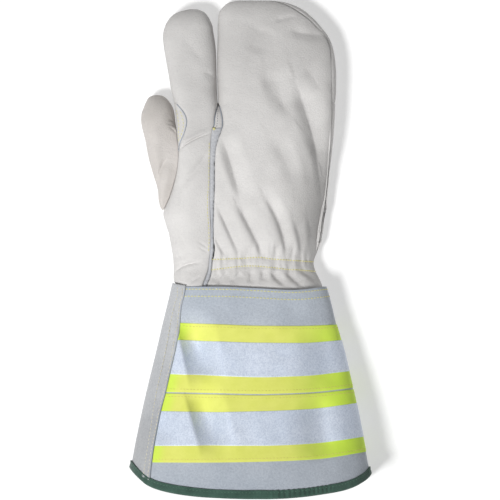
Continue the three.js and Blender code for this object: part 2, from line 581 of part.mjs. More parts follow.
// thumb: one sheet round the thumb, open toward the hand below the crotch
function thumbPoint(u, y) {
  const c = cap(THUMB_TIP_Y - y, THUMB_TIP_RADIUS);
  const side = at(THUMBTOP, y, "side"), crown = mix(side, at(THUMBTOP, y, "crown"), c), floor = mix(side, 0, c);
  const xl = at(THUMB, y, "left"), xr = Math.min(at(THUMB, y, "right"), at(HANDLEFT, y, "x") - 2 * HALF_GAP - 0.1);
  const open = smooth(THUMB_OPEN_TOP, THUMB_OPEN_TOP - 9, y);
  const zTop = mix(side, Math.min(at(HANDLEFT, y, "z"), crown - 0.6), open), zLow = mix(side, floor, open);
  const s = { xl, xr, xc: mix(xl, xr, mix(0.5, 0.42, open)), zl: side, zr: zTop + (open < 1 ? HALF_GAP : 0), top: crown, floor, n: THUMB_ROUND };
  if (u < 0.5) {
    const [x, z] = upper(s, Math.PI * (1 - 2 * u));
    return [x, y, z + foldHeight("thumb", x, y) * smooth(0, 0.12, u)];
  }
  const low = { ...s, zr: zLow - (open < 1 ? HALF_GAP : 0) };
  const [x, z] = lower(low, Math.PI * (2 - 2 * u), THUMB_LOWER_ROUND);
  return [x, y, z];
}

// ---- gauntlet ----------------------------------------------------------------
const lineFns = Object.fromEntries(LINES.list.map((l) => [l.name, curve([0, 0.25, 0.5, 0.75, 1], [l.at0, l.at25, l.at50, l.at75, l.at100])]));

function cuffSection(y) {
  const xl = at(CUFF, y, "left"), xr = at(CUFF, y, "right"), side = at(CUFF, y, "side");
  return { xl, xr, xc: (xl + xr) / 2, zl: side, zr: side, top: at(CUFF, y, "top"), floor: HEM_LIFT * smooth(HEM_LIFT_Y, HEM_LIFT_Y - 14, y), n: at(CUFF, y, "round") };
}
// angle 0 at the left, a quarter turn at the crown, half a turn at the right
function cuffPoint(a, y) {
  const s = cuffSection(y), t = ((a % TURN) + TURN) % TURN;
  const [x, z] = t < Math.PI ? upper(s, t) : lower(s, t - Math.PI, CUFF_LOWER_ROUND);
  return [x, y, t < Math.PI ? z + foldHeight("cuff", x, y) : z];
}
const lapAngle = (y) => upperAngle(cuffSection(y), at(LAP, y, "x"));
function rightSeamAngle(y) {
  const s = cuffSection(y), h = clamp((s.zr - RIGHT_SEAM_Z) / (s.zr - s.floor + SAG), 0, 1);
  return Math.PI + Math.asin(h ** (CUFF_LOWER_ROUND / 2));
}
// height of the hem line, by how far across the gauntlet it is
const hemLine = curve(HEM.map((r) => r[0]), HEM.map((r) => r[1]));
const hemY = (a) => {
  const t = ((a % TURN) + TURN) % TURN, c = Math.cos(t), n = t < Math.PI ? HEM_ROUND : CUFF_LOWER_ROUND;
  return hemLine(0.5 - 0.5 * Math.sign(c) * Math.abs(c) ** (2 / n));
};
const across = (x, y) => { const l = at(LAP, y, "x"); return clamp((x - l) / (at(CUFF, y, "right") - l), 0, 1); };

// a point of the back panel on one line across it
function backPanelPoint(u, edge) {
  let y = -120, a = 0;
  for (let k = 0; k < 8; k++) {
    const s = cuffSection(y), g = HALF_GAP / 30;
    a = mix(lapAngle(y) + g, rightSeamAngle(y) - g, u);
    y = edge(a, across(a < Math.PI ? upper(s, a)[0] : s.xr, y));
  }
  return cuffPoint(a, y);
}
const line = (name) => (a, s) => lineFns[name](s);
const between = (e, f, t) => (a, s) => mix(e(a, s), f(a, s), t);
const lowerEdge = (a) => hemY(a) + BIND + HALF_GAP * 2;
// lines of the back panel, from the top edge to the hem; the tapes use the same ones
const bindingTop = (a) => hemY(a) + BIND_HEIGHT;
const panelLines = [line("top_edge"), between(line("top_edge"), line("upper_start"), 0.5), line("upper_start"), line("upper_silver_start"),
  between(line("upper_silver_start"), line("upper_silver_end"), 0.5), line("upper_silver_end"), line("upper_end"), line("lower_start"), line("lower_silver_start"),
  between(line("lower_silver_start"), line("lower_silver_end"), 0.5), line("lower_silver_end"), line("lower_end"), between(line("lower_end"), bindingTop, 0.5), bindingTop, lowerEdge];
const panelPoint = (first, last) => (u, v) => {
  const k = mix(first, last, v), i = Math.min(panelLines.length - 2, Math.floor(k + 1e-9));
  return backPanelPoint(u, between(panelLines[i], panelLines[i + 1], k - i));
};
const panelSheet = (first, last, cols, options) => sheet(panelPoint(first, last), steps(cols), steps(last - first), { inside: [0, 0, 30], ...options });
const palmTop = (a) => PALM_TOP_Y + 3.2 * Math.max(0, Math.cos(a)) ** 4;

function palmPanelPoint(u, v) {
  let y = mix(-40, -200, v), a = 0;
  for (let k = 0; k < 8; k++) {
    const g = HALF_GAP / 12;
    a = mix(rightSeamAngle(y) + g, TURN + lapAngle(y) - g, u);
    y = v < 0.92 ? mix(palmTop(a), bindingTop(a), v / 0.92) : mix(bindingTop(a), lowerEdge(a), (v - 0.92) / 0.08);
  }
  return cuffPoint(a, y);
}
function lapLift(u, v, p) {
  const d = at(LAP, p[1], "x") - p[0];
  if (u < 0.6) return 0;
  return LAP_LIFT * smooth(14, 5, d) * smooth(-198.6, -189, p[1]);
}

// the binding: a folded strip swept round the lower edge
function binding(cols) {
  const profile = [[BIND + 0.3, BIND_HEIGHT], [BIND + 0.3, 0], [-CUFF_WALL - BIND - 0.3, 0], [-CUFF_WALL - BIND - 0.3, BIND_HEIGHT], [-CUFF_WALL - 0.3, BIND_HEIGHT], [-CUFF_WALL - 0.3, BIND], [0.3, BIND], [0.3, BIND_HEIGHT]];
  const angles = (y) => [...steps(cols).slice(0, -1).map((u) => mix(lapAngle(y), rightSeamAngle(y), u)), ...steps(cols).slice(0, -1).map((u) => mix(rightSeamAngle(y), TURN + lapAngle(y), u))];
  const pos = [], tri = [], P = profile.length, n = 2 * cols;
  for (let i = 0; i < n; i++) for (const [o, up] of profile) {
    let y = -220, a = 0;
    for (let k = 0; k < 8; k++) { a = angles(y)[i]; y = hemY(a) + up; }
    const e = 1e-3, p = cuffPoint(a, y), q0 = cuffPoint(a - e, y), q1 = cuffPoint(a + e, y), r0 = cuffPoint(a, y + 0.2), r1 = cuffPoint(a, y - 0.2);
    const nrm = new THREE.Vector3(q1[0] - q0[0], q1[1] - q0[1], q1[2] - q0[2]).cross(new THREE.Vector3(r1[0] - r0[0], r1[1] - r0[1], r1[2] - r0[2])).normalize();
    if (nrm.dot(new THREE.Vector3(p[0], 0, p[2] - 35)) < 0) nrm.negate();
    pos.push(p[0] + nrm.x * o, y + nrm.y * o, Math.max(0, p[2] + nrm.z * o));
  }
  for (let i = 0; i < n; i++) for (let k = 0; k < P; k++) {
    const a = i * P + k, b = i * P + ((k + 1) % P), c = ((i + 1) % n) * P + ((k + 1) % P), d = ((i + 1) % n) * P + k;
    tri.push(a, b, c, a, c, d);
  }
  return geometry(pos, tri);
}

// ---- the mitt -------------------------------------------------------------------
const COLOURS = {
  grain: { color: 0xd2d0cf, roughness: 0.62, metalness: 0 },
  suede: { color: 0xb3b8c0, roughness: 0.95, metalness: 0 },
  seam: { color: 0xa5a5a6, roughness: 0.95, metalness: 0 },
  yellow: { color: 0xd8e468, roughness: 0.85, metalness: 0 },
  silver: { color: 0xc4cfdd, roughness: 0.4, metalness: 0.1 },
  green: { color: 0x3d594e, roughness: 0.9, metalness: 0 },
};

function build() {
  const root = new THREE.Group();
  root.name = "cut_resistant_mitt";
  const add = (name, g, look) => {
    const m = new THREE.Mesh(g, new THREE.MeshStandardMaterial(COLOURS[look]));
    m.name = name;
    root.add(m);
  };
  // rows shared by the pieces of the hand, so that their edges run side by side
  const shared = [...rowsBetween(CROTCH_Y, HAND_END_Y, HAND_ROWS), CRESCENT_END, THUMB_OPEN_TOP - 8, THUMB_END_Y, PATCH_END_Y].sort((a, b) => b - a);
  const rowsIn = (y0, y1) => [y0, ...shared.filter((y, i) => y < y0 - 1.2 && y > y1 + 1.2 && !(i && shared[i - 1] - y < 1)), y1];
  const tipTo = (tip, rows) => tipRows(tip, CROTCH_Y + 0.05, 5, rows);
  const overlap = (f) => (y) => f(Math.max(y, CROTCH_Y + 0.05));
  add("mitt_back", rowSheet(backPoint, [...tipTo(POCKET_TIP_Y, 7), ...rowsIn(CROTCH_Y, HAND_END_Y)], 13), "grain");
  add("index_back", rowSheet(indexPoint, [...tipTo(INDEX_TIP_Y, 5), ...rowsIn(CRESCENT_TOP - 0.05, CRESCENT_END + 0.05), ...rowsIn(CRESCENT_END - 0.05, HAND_END_Y)], 8, { inside: (p) => [p[0], 0, 10] }), "grain");
  add("thumb_crotch_patch", rowSheet(crescentPoint, rowsIn(CRESCENT_TOP - 0.05, CRESCENT_END + 0.6), 4, { wall: 1.2, inside: (p) => [p[0], 0, 0] }), "grain");
  add("finger_crotch_patch", rowSheet(stripPoint, rowsIn(CROTCH_Y - 1.2, PATCH_END_Y + HALF_GAP), 3, { wall: 1.2, inside: (p) => [p[0], 0, 0] }), "grain");
  add("seam_strip", rowSheet(stripPoint, rowsIn(PATCH_END_Y - HALF_GAP, HAND_END_Y), 2, { wall: 1.4, inside: (p) => [p[0], 0, 0] }), "seam");

  const underside = (f, flank) => (u, y) => undersidePoint(f, u, y, flank);
  const open = THUMB_OPEN_TOP - 8;
  add("pocket_front", rowSheet(underside(overlap(pocketSection), true), [...tipTo(POCKET_TIP_Y, 7), CROTCH_Y], 16), "grain");
  add("index_front", rowSheet(underside(overlap(indexSection), false), [...tipTo(INDEX_TIP_Y, 5), CROTCH_Y], 10, { inside: (p) => [p[0], 0, 20] }), "grain");
  const palm = [
    rowSheet(underside((y) => handSection(y, false), true), rowsIn(CROTCH_Y - 0.35, open), 16),
    rowSheet(underside((y) => handSection(y, true), true), rowsIn(open + 0.5, THUMB_END_Y - 0.2), 16),
    rowSheet(underside((y) => handSection(y, false), true), rowsIn(THUMB_END_Y, HAND_END_Y), 16),
  ];
  add("palm", fromSolid(union(palm)), "grain");
  add("thumb", rowSheet(thumbPoint, [...tipRows(THUMB_TIP_Y, THUMB_OPEN_TOP, 5, 4), ...rowsIn(THUMB_OPEN_TOP - 3, THUMB_END_Y + 0.4)], 16, { inside: (p) => [p[0] + 12, 0, 18] }), "grain");

  add("gauntlet_back", panelSheet(0, panelLines.length - 1, CUFF_COLS, { wall: CUFF_WALL }), "suede");
  add("gauntlet_palm", sheet(palmPanelPoint, steps(CUFF_COLS), [0, 0.15, 0.3, 0.45, 0.6, 0.75, 0.84, 0.92, 1], { wall: CUFF_WALL, lift: lapLift, inside: [0, 0, 30] }), "suede");
  add("tape_upper", panelSheet(2, 6, CUFF_COLS, { wall: TAPE_WALL, lift: () => TAPE_LIFT }), "yellow");
  add("tape_lower", panelSheet(7, 11, CUFF_COLS, { wall: TAPE_WALL, lift: () => TAPE_LIFT }), "yellow");
  add("reflective_upper", panelSheet(3, 5, CUFF_COLS, { wall: SILVER_WALL, lift: () => SILVER_LIFT }), "silver");
  add("reflective_lower", panelSheet(8, 10, CUFF_COLS, { wall: SILVER_WALL, lift: () => SILVER_LIFT }), "silver");
  add("hem_binding", binding(CUFF_COLS), "green");
  return root;
}

export default build();
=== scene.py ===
import math

import bpy
import numpy as np
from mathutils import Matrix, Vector


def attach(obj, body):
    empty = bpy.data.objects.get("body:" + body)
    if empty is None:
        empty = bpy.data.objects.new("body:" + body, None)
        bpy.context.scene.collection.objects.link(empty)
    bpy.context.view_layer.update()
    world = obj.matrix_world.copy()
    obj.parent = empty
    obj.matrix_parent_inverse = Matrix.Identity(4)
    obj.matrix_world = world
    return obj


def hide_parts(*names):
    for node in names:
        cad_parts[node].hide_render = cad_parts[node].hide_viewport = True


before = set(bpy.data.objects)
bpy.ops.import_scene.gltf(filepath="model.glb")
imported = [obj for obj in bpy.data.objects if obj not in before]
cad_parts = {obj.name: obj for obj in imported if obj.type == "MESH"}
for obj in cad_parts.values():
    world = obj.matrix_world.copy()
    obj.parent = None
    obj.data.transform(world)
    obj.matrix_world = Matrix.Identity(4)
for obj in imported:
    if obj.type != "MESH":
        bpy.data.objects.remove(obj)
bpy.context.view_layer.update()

MM = 0.001
TAU = math.tau

# ---------------------------------------------------------------------------
# driving sizes, in mm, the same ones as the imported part's
# ---------------------------------------------------------------------------
WALL = 1.9
CUFF_WALL = 1.8
HALF_GAP = 0.12
TIP_RADIUS = 17.0
THUMB_TIP_RADIUS = 16.0
THUMB_ROUND = 2.25
THUMB_LOWER_ROUND = 2.8
LOWER_ROUND = 3.4
CUFF_LOWER_ROUND = 3.0
SAG = 2.2
POCKET_TIP_Y = 225.4
INDEX_TIP_Y = 217.7
THUMB_TIP_Y = 139.9
CROTCH_Y = 132.5
PATCH_END_Y = 109.5
CRESCENT_TOP = 132.4
CRESCENT_END = 88.2
THUMB_OPEN_TOP = 98.0
THUMB_END_Y = 36.2
HAND_END_Y = -46.0
HEM_ROUND = 2.1
HEM_LIFT = 1.3
HEM_LIFT_Y = -172.0
PALM_TOP_Y = -33.8
RIGHT_SEAM_Z = 8.0
BIND_HEIGHT = 7.6


# ---------------------------------------------------------------------------
# interpolation
# ---------------------------------------------------------------------------
class Curve:
    """Monotone cubic through (x, y) rows."""

    def __init__(self, xs, ys):
        x, y = np.array(xs, float), np.array(ys, float)
        h, d = np.diff(x), np.diff(y) / np.diff(x)
        m = np.zeros(len(x))
        m[0], m[-1] = d[0], d[-1]
        for i in range(1, len(x) - 1):
            if d[i - 1] * d[i] > 0:
                w1, w2 = 2 * h[i] + h[i - 1], h[i] + 2 * h[i - 1]
                m[i] = (w1 + w2) / (w1 / d[i - 1] + w2 / d[i])
        self.x, self.y, self.m, self.h = x, y, m, h

    def __call__(self, q):
        q = np.clip(np.asarray(q, float), self.x[0], self.x[-1])
        i = np.clip(np.searchsorted(self.x, q, side="right") - 1, 0, len(self.h) - 1)
        h = self.h[i]
        t = (q - self.x[i]) / h
        t2, t3 = t * t, t * t * t
        return (self.y[i] * (2 * t3 - 3 * t2 + 1) + self.m[i] * h * (t3 - 2 * t2 + t)
                + self.y[i + 1] * (3 * t2 - 2 * t3) + self.m[i + 1] * h * (t3 - t2))


def table(names, rows):
    if names[0] == "name":
        return {r[0]: Curve([0, 0.25, 0.5, 0.75, 1], r[1:]) for r in rows}
    return {n: Curve([-r[0] for r in rows], [r[k + 1] for r in rows]) for k, n in enumerate(names[1:])}


def at(t, y, name):
    return t[name](-np.asarray(y, float))


def mix(a, b, t):
    return a + (b - a) * t


def smooth(a, b, x):
    t = np.clip((np.asarray(x, float) - a) / (b - a), 0, 1)
    return t * t * (3 - 2 * t)


_lattice = np.random.RandomState(11).rand(32, 32, 32)


def noise(x, y, z, size, shift=0.0):
    """Smooth noise from -1 to 1 with features of about size mm."""
    p = [np.asarray(q, float) / size + shift + 7.3 * k for k, q in enumerate((x, y, z))]
    p = np.broadcast_arrays(*p)
    i = [np.floor(q).astype(int) for q in p]
    f = [q - k for q, k in zip(p, i)]
    f = [q * q * (3 - 2 * q) for q in f]
    out = 0
    for a in (0, 1):
        for b in (0, 1):
            for c in (0, 1):
                w = (f[0] if a else 1 - f[0]) * (f[1] if b else 1 - f[1]) * (f[2] if c else 1 - f[2])
                out = out + w * _lattice[(i[0] + a) % 32, (i[1] + b) % 32, (i[2] + c) % 32]
    return 2 * out - 1


# ---------------------------------------------------------------------------
# shape tables, in mm
# ---------------------------------------------------------------------------
POCKET = table(['y', 'left', 'right'], [
    [225.4, -10.3, 16.6],
    [223.7, -18.3, 30.5],
    [221.9, -21.9, 36.9],
    [218.3, -25.5, 45.0],
    [214.7, -28.0, 50.6],
    [211.1, -28.9, 54.6],
    [207.5, -29.2, 58.6],
    [200.2, -29.5, 64.9],
    [193.0, -29.5, 70.3],
    [185.8, -29.6, 73.7],
    [174.9, -29.9, 76.3],
    [157.8, -29.8, 77.8],
    [144.2, -29.5, 77.7],
    [132.5, -29.0, 77.0],
    [111.7, -29.0, 76.0],
    [90.0, -29.0, 74.1],
    [68.3, -29.1, 71.4],
    [46.6, -29.1, 68.8],
    [24.9, -29.1, 65.1],
    [8.7, -29.1, 62.9],
    [-2.2, -29.1, 60.5],
    [-7.6, -29.1, 58.4],
    [-12.1, -29.1, 57.3],
    [-18.4, -29.1, 58.6],
    [-24.8, -29.1, 61.6],
    [-31.1, -29.1, 64.5],
    [-47.3, -29.1, 68.0],
])
INDEX = table(['y', 'left', 'right'], [
    [217.7, -53.9, -48.5],
    [216.5, -58.9, -45.4],
    [214.7, -65.2, -41.7],
    [212.0, -70.0, -39.0],
    [207.5, -74.1, -36.3],
    [202.0, -77.0, -34.1],
    [196.6, -78.5, -33.3],
    [191.2, -79.0, -32.4],
    [184.0, -78.3, -31.4],
    [173.1, -76.5, -30.8],
    [157.8, -73.8, -30.5],
    [144.2, -71.5, -30.2],
    [132.5, -68.8, -29.5],
])
THUMB = table(['y', 'left', 'right'], [
    [139.9, -86.0, -82.0],
    [138.8, -89.6, -78.8],
    [137.0, -92.1, -76.1],
    [133.4, -94.2, -72.9],
    [127.9, -96.5, -69.8],
    [122.5, -98.3, -68.5],
    [117.1, -98.7, -68.0],
    [110.8, -97.8, -67.6],
    [104.5, -96.3, -67.2],
    [97.2, -94.5, -66.5],
    [91.4, -93.5, -65.6],
    [84.6, -92.2, -65.2],
    [76.4, -90.2, -65.8],
    [68.3, -87.8, -66.9],
    [57.5, -84.4, -69.5],
    [52.0, -83.3, -71.2],
    [46.6, -83.0, -73.1],
    [41.2, -82.1, -75.5],
    [36.2, -80.6, -77.7],
])
HANDLEFT = table(['y', 'x', 'z'], [
    [132.5, -68.8, 21],
    [126.1, -67.8, 24],
    [118.9, -67.2, 26.5],
    [111.7, -66.8, 28.8],
    [104.5, -66.2, 31],
    [97.2, -65.4, 33],
    [91.4, -64.8, 34.6],
    [84.6, -64.9, 35.6],
    [76.4, -65.6, 35.8],
    [68.3, -66.8, 35],
    [57.5, -69.5, 32.4],
    [46.6, -73.1, 28.2],
    [41.2, -75.5, 25.4],
    [36.2, -77.7, 22.6],
    [32.2, -78.6, 21.2],
    [24.9, -77.0, 20.5],
    [14.1, -73.6, 19],
    [3.3, -71.6, 18],
    [-7.6, -69.8, 17],
    [-13.0, -69.4, 16.8],
    [-18.4, -69.1, 17],
    [-24.8, -69.4, 17.6],
    [-28.4, -69.0, 17.8],
    [-32.0, -67.2, 18],
    [-47.3, -68.5, 18.5],
])
SEAM = table(['y', 'left', 'right', 'z'], [
    [132.5, -29.4, -29.2, 22.5],
    [129.8, -29.8, -27.7, 28],
    [126.6, -30.7, -26.7, 32.5],
    [123.4, -31.4, -25.8, 35.6],
    [118.5, -32.3, -25.0, 38.3],
    [113.5, -32.5, -24.7, 40],
    [108.1, -34.1, -25.9, 41.6],
    [100.8, -35.2, -28.6, 43],
    [90.0, -35.6, -31.4, 44.2],
    [76.4, -36.1, -32.2, 45.4],
    [61.1, -36.1, -32.1, 46],
    [44.8, -36.3, -32.7, 45.2],
    [32.2, -36.0, -33.1, 43.6],
    [22.2, -35.4, -33.5, 42],
    [10.5, -35.3, -33.2, 40],
    [-0.4, -36.0, -33.0, 38.2],
    [-7.6, -36.7, -34.0, 36.6],
    [-13.0, -37.1, -34.5, 36.8],
    [-18.4, -37.8, -34.9, 37],
    [-24.8, -39.9, -36.1, 38],
    [-31.1, -42.3, -38.9, 39.2],
    [-47.3, -44.9, -41.5, 40.6],
])
BACK = table(['y', 'pocket', 'index', 'bottom', 'side', 'round'], [
    [225.4, 28.5, 29, 0, 17, 3.1],
    [207.5, 31.4, 31, 0, 17.4, 3.1],
    [184.9, 36.2, 33.4, 0, 18, 3.2],
    [157.8, 41.8, 36.2, 0, 18, 3.4],
    [132.5, 45.4, 39.7, 0, 18, 3.3],
    [112.6, 47.4, 43, 0, 18, 3.1],
    [90.0, 48.8, 46, 0, 17.2, 2.8],
    [62.9, 50.2, 47.6, 0, 14, 2.35],
    [35.8, 48.8, 45.6, 0, 10.6, 2.15],
    [13.2, 45.4, 42.4, 0, 9.8, 2.05],
    [-0.4, 41.8, 39.6, 0, 10.4, 2.05],
    [-7.6, 39.8, 38, 0, 11.6, 2.05],
    [-13.0, 40, 38.2, 0, 12.8, 2.05],
    [-18.4, 40.6, 38.8, 0.2, 14.4, 2.1],
    [-24.8, 42.4, 40.6, 1, 16.8, 2.15],
    [-31.1, 44, 41.8, 2.7, 19.2, 2.2],
    [-47.3, 46.2, 43.8, 3.2, 20.4, 2.2],
])
DORSAL = table(['y', 'x'], [
    [225.4, 16.1],
    [223.3, 27.3],
    [219.2, 37.3],
    [213.5, 46.6],
    [207.9, 54.3],
    [200.6, 61.4],
    [191.4, 69.4],
    [184.9, 72.1],
    [177.6, 73.7],
    [151.8, 74.5],
    [124.3, 74.5],
    [105.6, 73.7],
    [90.0, 72.6],
    [68.3, 70.8],
    [46.6, 68.4],
    [24.9, 64.7],
    [8.7, 62.5],
    [-2.2, 60.2],
    [-7.6, 58.0],
    [-12.1, 56.9],
    [-18.4, 58.2],
    [-24.8, 61.3],
    [-31.1, 64.2],
    [-47.3, 67.7],
])
CRESCENT = table(['y', 'x'], [
    [132.5, -67.4],
    [129.8, -64.9],
    [124.5, -60.6],
    [119.3, -58.0],
    [115.2, -57.3],
    [109.0, -58.4],
    [101.7, -61.0],
    [97.5, -62.9],
    [93.3, -64.1],
    [88.2, -64.4],
])
THUMBTOP = table(['y', 'crown', 'side'], [
    [139.9, 27, 15],
    [127.9, 30, 15],
    [117.1, 32.5, 15.5],
    [104.5, 34, 16],
    [91.4, 35.8, 16.8],
    [81.0, 36.8, 17.6],
    [68.3, 36.2, 18.6],
    [57.5, 33.6, 19.4],
    [46.6, 29.2, 20.2],
    [41.2, 26.2, 20.7],
    [36.2, 23.4, 21],
])
CUFF = table(['y', 'left', 'right', 'top', 'side', 'round'], [
    [-27.5, -69.6, 67.2, 47.4, 20.5, 2.8],
    [-45.5, -73.8, 72.5, 52, 22, 2.65],
    [-67.2, -79.2, 77.7, 57.8, 24, 2.5],
    [-88.9, -84.2, 83.9, 63.2, 26, 2.4],
    [-110.6, -89.5, 89.2, 68.4, 28, 2.3],
    [-132.3, -94.7, 94.2, 73.8, 30.2, 2.25],
    [-154.0, -99.4, 98.7, 79, 32.4, 2.2],
    [-175.7, -103.9, 103.0, 83.8, 34.4, 2.15],
    [-199.2, -108.1, 107.6, 88.4, 36.4, 2.1],
    [-228.1, -113.7, 113.1, 93, 38.6, 2.1],
])
LAP = table(['y', 'x'], [
    [-27.5, -57.7],
    [-40.1, -59.1],
    [-51.0, -61.7],
    [-66.3, -63.4],
    [-80.8, -65.3],
    [-112.4, -72.2],
    [-128.7, -75.9],
    [-144.9, -80.1],
    [-177.5, -86.4],
    [-191.9, -88.4],
    [-208.2, -90.2],
    [-228.1, -91.9],
])
LINES = table(['name', 'at0', 'at25', 'at50', 'at75', 'at100'], [
    ['top_edge', -33.7, -33.8, -35.1, -36.7, -33.8],
    ['upper_start', -66.3, -67.5, -68.8, -69.0, -67.9],
    ['upper_silver_start', -81.7, -83.0, -84.2, -84.4, -82.1],
    ['upper_silver_end', -112.4, -113.8, -115.1, -113.9, -109.9],
    ['upper_end', -128.3, -129.1, -129.9, -128.7, -124.7],
    ['lower_start', -129.8, -130.6, -131.4, -130.1, -126.3],
    ['lower_silver_start', -145.8, -146.5, -145.8, -143.8, -138.8],
    ['lower_silver_end', -177.0, -176.6, -176.6, -174.8, -168.9],
    ['lower_end', -191.7, -191.6, -190.8, -188.9, -182.3],
])
FOLDS = [  # panel, name, x0, y0, x1, y1, x2, y2, width, depth
    ('back', 'tip_cloud', 10.7, 203.9, 5.2, 191.2, -0.2, 176.7, 8.1, -1.8),
    ('back', 'mid_cloud', 14.3, 160.5, 23.3, 140.6, 36.9, 120.7, 7.2, -4.4),
    ('back', 'side_cloud', 49.5, 165.9, 56.7, 155.1, 64.9, 142.4, 5.9, -1.8),
    ('back', 'long_fold', 40.5, 153.3, 52.7, 115.3, 61.7, 81.0, 7.6, -7.4),
    ('back', 'wrist_side', 63.1, 48.4, 64.9, 23.1, 62.2, -0.4, 11.7, -3.2),
    ('back', 'long_fold_low', 55.8, 100.8, 61.3, 73.7, 65.3, 37.6, 3.8, -4.4),
    ('back', 'soft_cross', 17.9, 102.6, 31.4, 81.0, 37.8, 57.5, 7.2, -2.4),
    ('back', 'long_low', 64.0, 55.7, 62.2, 26.7, 56.7, -2.2, 5.9, -3.6),
    ('back', 'long_ridge', 32.3, 106.3, 44.1, 81.0, 51.3, 42.1, 5.4, 0.9),
    ('back', 'hand_soft', -26.4, 101.7, -16.4, 73.7, -8.3, 39.4, 4.9, -3.8),
    ('back', 'hand_ridge', -29.1, 90.0, -18.3, 61.1, -3.8, 39.4, 4.5, 0.7),
    ('back', 'hand_low', -11.9, 40.3, -0.2, 19.5, 12.0, -5.8, 2.6, -3.4),
    ('back', 'hand_low_ridge', -16.4, 36.7, -5.6, 16.8, 5.7, -5.8, 3.3, 0.5),
    ('back', 'seam_diagonal', -30.0, 39.4, -19.2, 15.9, -9.7, -5.8, 2.3, -2.8),
    ('back', 'mid_fold', 11.6, 50.2, 26.6, 21.3, 32.3, -7.6, 2.4, -4.0),
    ('back', 'mid_ridge', 10.7, 34.0, 20.6, 17.7, 25.6, -6.7, 2.9, 0.5),
    ('back', 'right_a', 38.7, 27.7, 44.1, 10.5, 45.7, -4.9, 2.1, -2.3),
    ('back', 'right_b', 51.8, 30.4, 54.5, 11.4, 51.8, -6.7, 2.7, -2.6),
    ('back', 'seam_small', -31.5, 12.3, -27.3, 1.9, -21.0, -6.7, 1.7, -1.9),
    ('back', 'tuck_a', 22.2, 5.1, 22.6, -1.3, 22.2, -7.6, 1.4, -1.4),
    ('back', 'tuck_b', 7.0, 6.0, 8.5, -1.3, 9.8, -7.6, 1.4, -1.2),
    ('back', 'tuck_c', -2.9, 3.3, -1.4, -2.2, -0.5, -7.6, 1.4, -1.0),
    ('back', 'tuck_d', 37.8, 5.1, 38.3, -1.3, 37.8, -7.6, 1.4, -1.1),
    ('back', 'below_a', 19.6, -19.3, 23.3, -26.1, 33.3, -33.3, 2.1, -2.6),
    ('back', 'below_b', 31.1, -19.3, 38.7, -27.0, 48.6, -34.7, 2.1, -2.7),
    ('back', 'below_c', 44.4, -19.3, 53.1, -24.3, 60.8, -32.9, 2.1, -3.0),
    ('back', 'below_d', 9.8, -18.9, 11.0, -23.0, 9.8, -28.4, 1.7, -1.8),
    ('back', 'below_e', -8.9, -20.2, -12.8, -24.8, -18.7, -29.7, 1.6, -1.7),
    ('back', 'below_f', -19.8, -19.3, -25.5, -25.7, -30.5, -32.9, 1.8, -1.8),
    ('back', 'below_g', -27.0, -19.8, -31.4, -23.9, -35.0, -28.8, 1.6, -1.3),
    ('back', 'below_h', -0.2, -19.8, 0.2, -24.8, -2.0, -30.2, 1.6, -1.4),
    ('back', 'corner_fold', 36.0, 197.5, 51.3, 194.8, 70.3, 193.0, 5.2, -1.9),
    ('back', 'tip_crease', 22.4, 206.1, 30.5, 208.9, 42.3, 210.9, 3.1, -1.3),
    ('index', 'base_crease', -63.8, 90.5, -51.7, 99.0, -35.0, 105.5, 0.9, -2.2),
    ('index', 'base_ridge', -61.6, 95.8, -49.9, 102.6, -37.2, 108.5, 2.5, 0.9),
    ('index', 'hand_band', -37.2, 89.1, -48.1, 73.7, -62.5, 56.6, 3.8, -1.6),
    ('index', 'wrist_crease', -67.6, -21.0, -59.8, -14.5, -45.4, -11.4, 1.4, -2.8),
    ('index', 'wrist_ridge', -67.0, -13.9, -58.0, -8.5, -44.5, -5.8, 3.4, 1.3),
    ('index', 'wrist_low', -54.4, -30.5, -49.0, -26.6, -44.8, -23.0, 1.3, -1.1),
    ('index', 'seam_wrinkle', -47.6, 7.3, -42.6, 4.5, -38.1, 1.6, 1.1, -0.8),
    ('index', 'seam_wrinkle_b', -46.3, 2.3, -41.7, -0.4, -37.7, -2.2, 1.1, -0.7),
    ('index', 'finger_crease', -30.9, 155.1, -35.9, 157.8, -42.2, 160.9, 3.9, -1.0),
    ('index', 'finger_soft', -58.0, 191.2, -51.7, 180.4, -42.6, 171.3, 5.4, -0.9),
    ('thumb', 'puff_valley', -74.7, 83.2, -81.0, 71.9, -83.1, 57.5, 2.2, -2.2),
    ('thumb', 'puff_ridge', -70.7, 78.3, -75.6, 62.9, -79.3, 44.8, 4.5, 1.5),
    ('thumb', 'side_wrinkle', -73.4, 110.8, -69.5, 108.3, -67.0, 105.0, 1.0, -1.3),
    ('thumb', 'side_wrinkle_b', -75.2, 113.9, -71.1, 112.9, -68.4, 110.8, 0.9, -1.0),
    ('thumb', 'side_wrinkle_c', -73.8, 118.0, -70.7, 116.6, -68.0, 114.0, 0.9, -0.9),
    ('cuff', 'dent_upper', -70.2, -51.0, -62.1, -90.7, -50.8, -141.3, 6.0, -12.4),
    ('cuff', 'dent_lower', -63.9, -117.8, -53.0, -154.9, -39.9, -202.8, 6.0, -11.6),
    ('cuff', 'dent_lap', -86.0, -143.1, -86.9, -161.2, -89.2, -179.3, 3.6, -2.2),
    ('cuff', 'dent_right', 62.2, -65.4, 66.7, -95.2, 70.3, -126.9, 16.3, -5.8),
    ('cuff', 'dent_right_low', 58.6, -130.5, 63.1, -159.4, 66.7, -191.9, 17.2, -7.8),
    ('cuff', 'top_soft', 32.3, -45.5, 37.8, -56.4, 45.0, -65.4, 8.1, -1.0),
]
HEM = [(0, -197.9), (0.02, -202.3), (0.045, -206.9), (0.08, -212.3), (0.125, -216.2), (0.175, -218.8), (0.25, -221.4), (0.35, -223.3), (0.5, -224.3), (0.6, -224.2), (0.7, -222.8), (0.8, -220.0), (0.86, -217.9), (0.92, -214.3), (0.96, -210.1), (0.985, -206.7), (1, -203.5)]


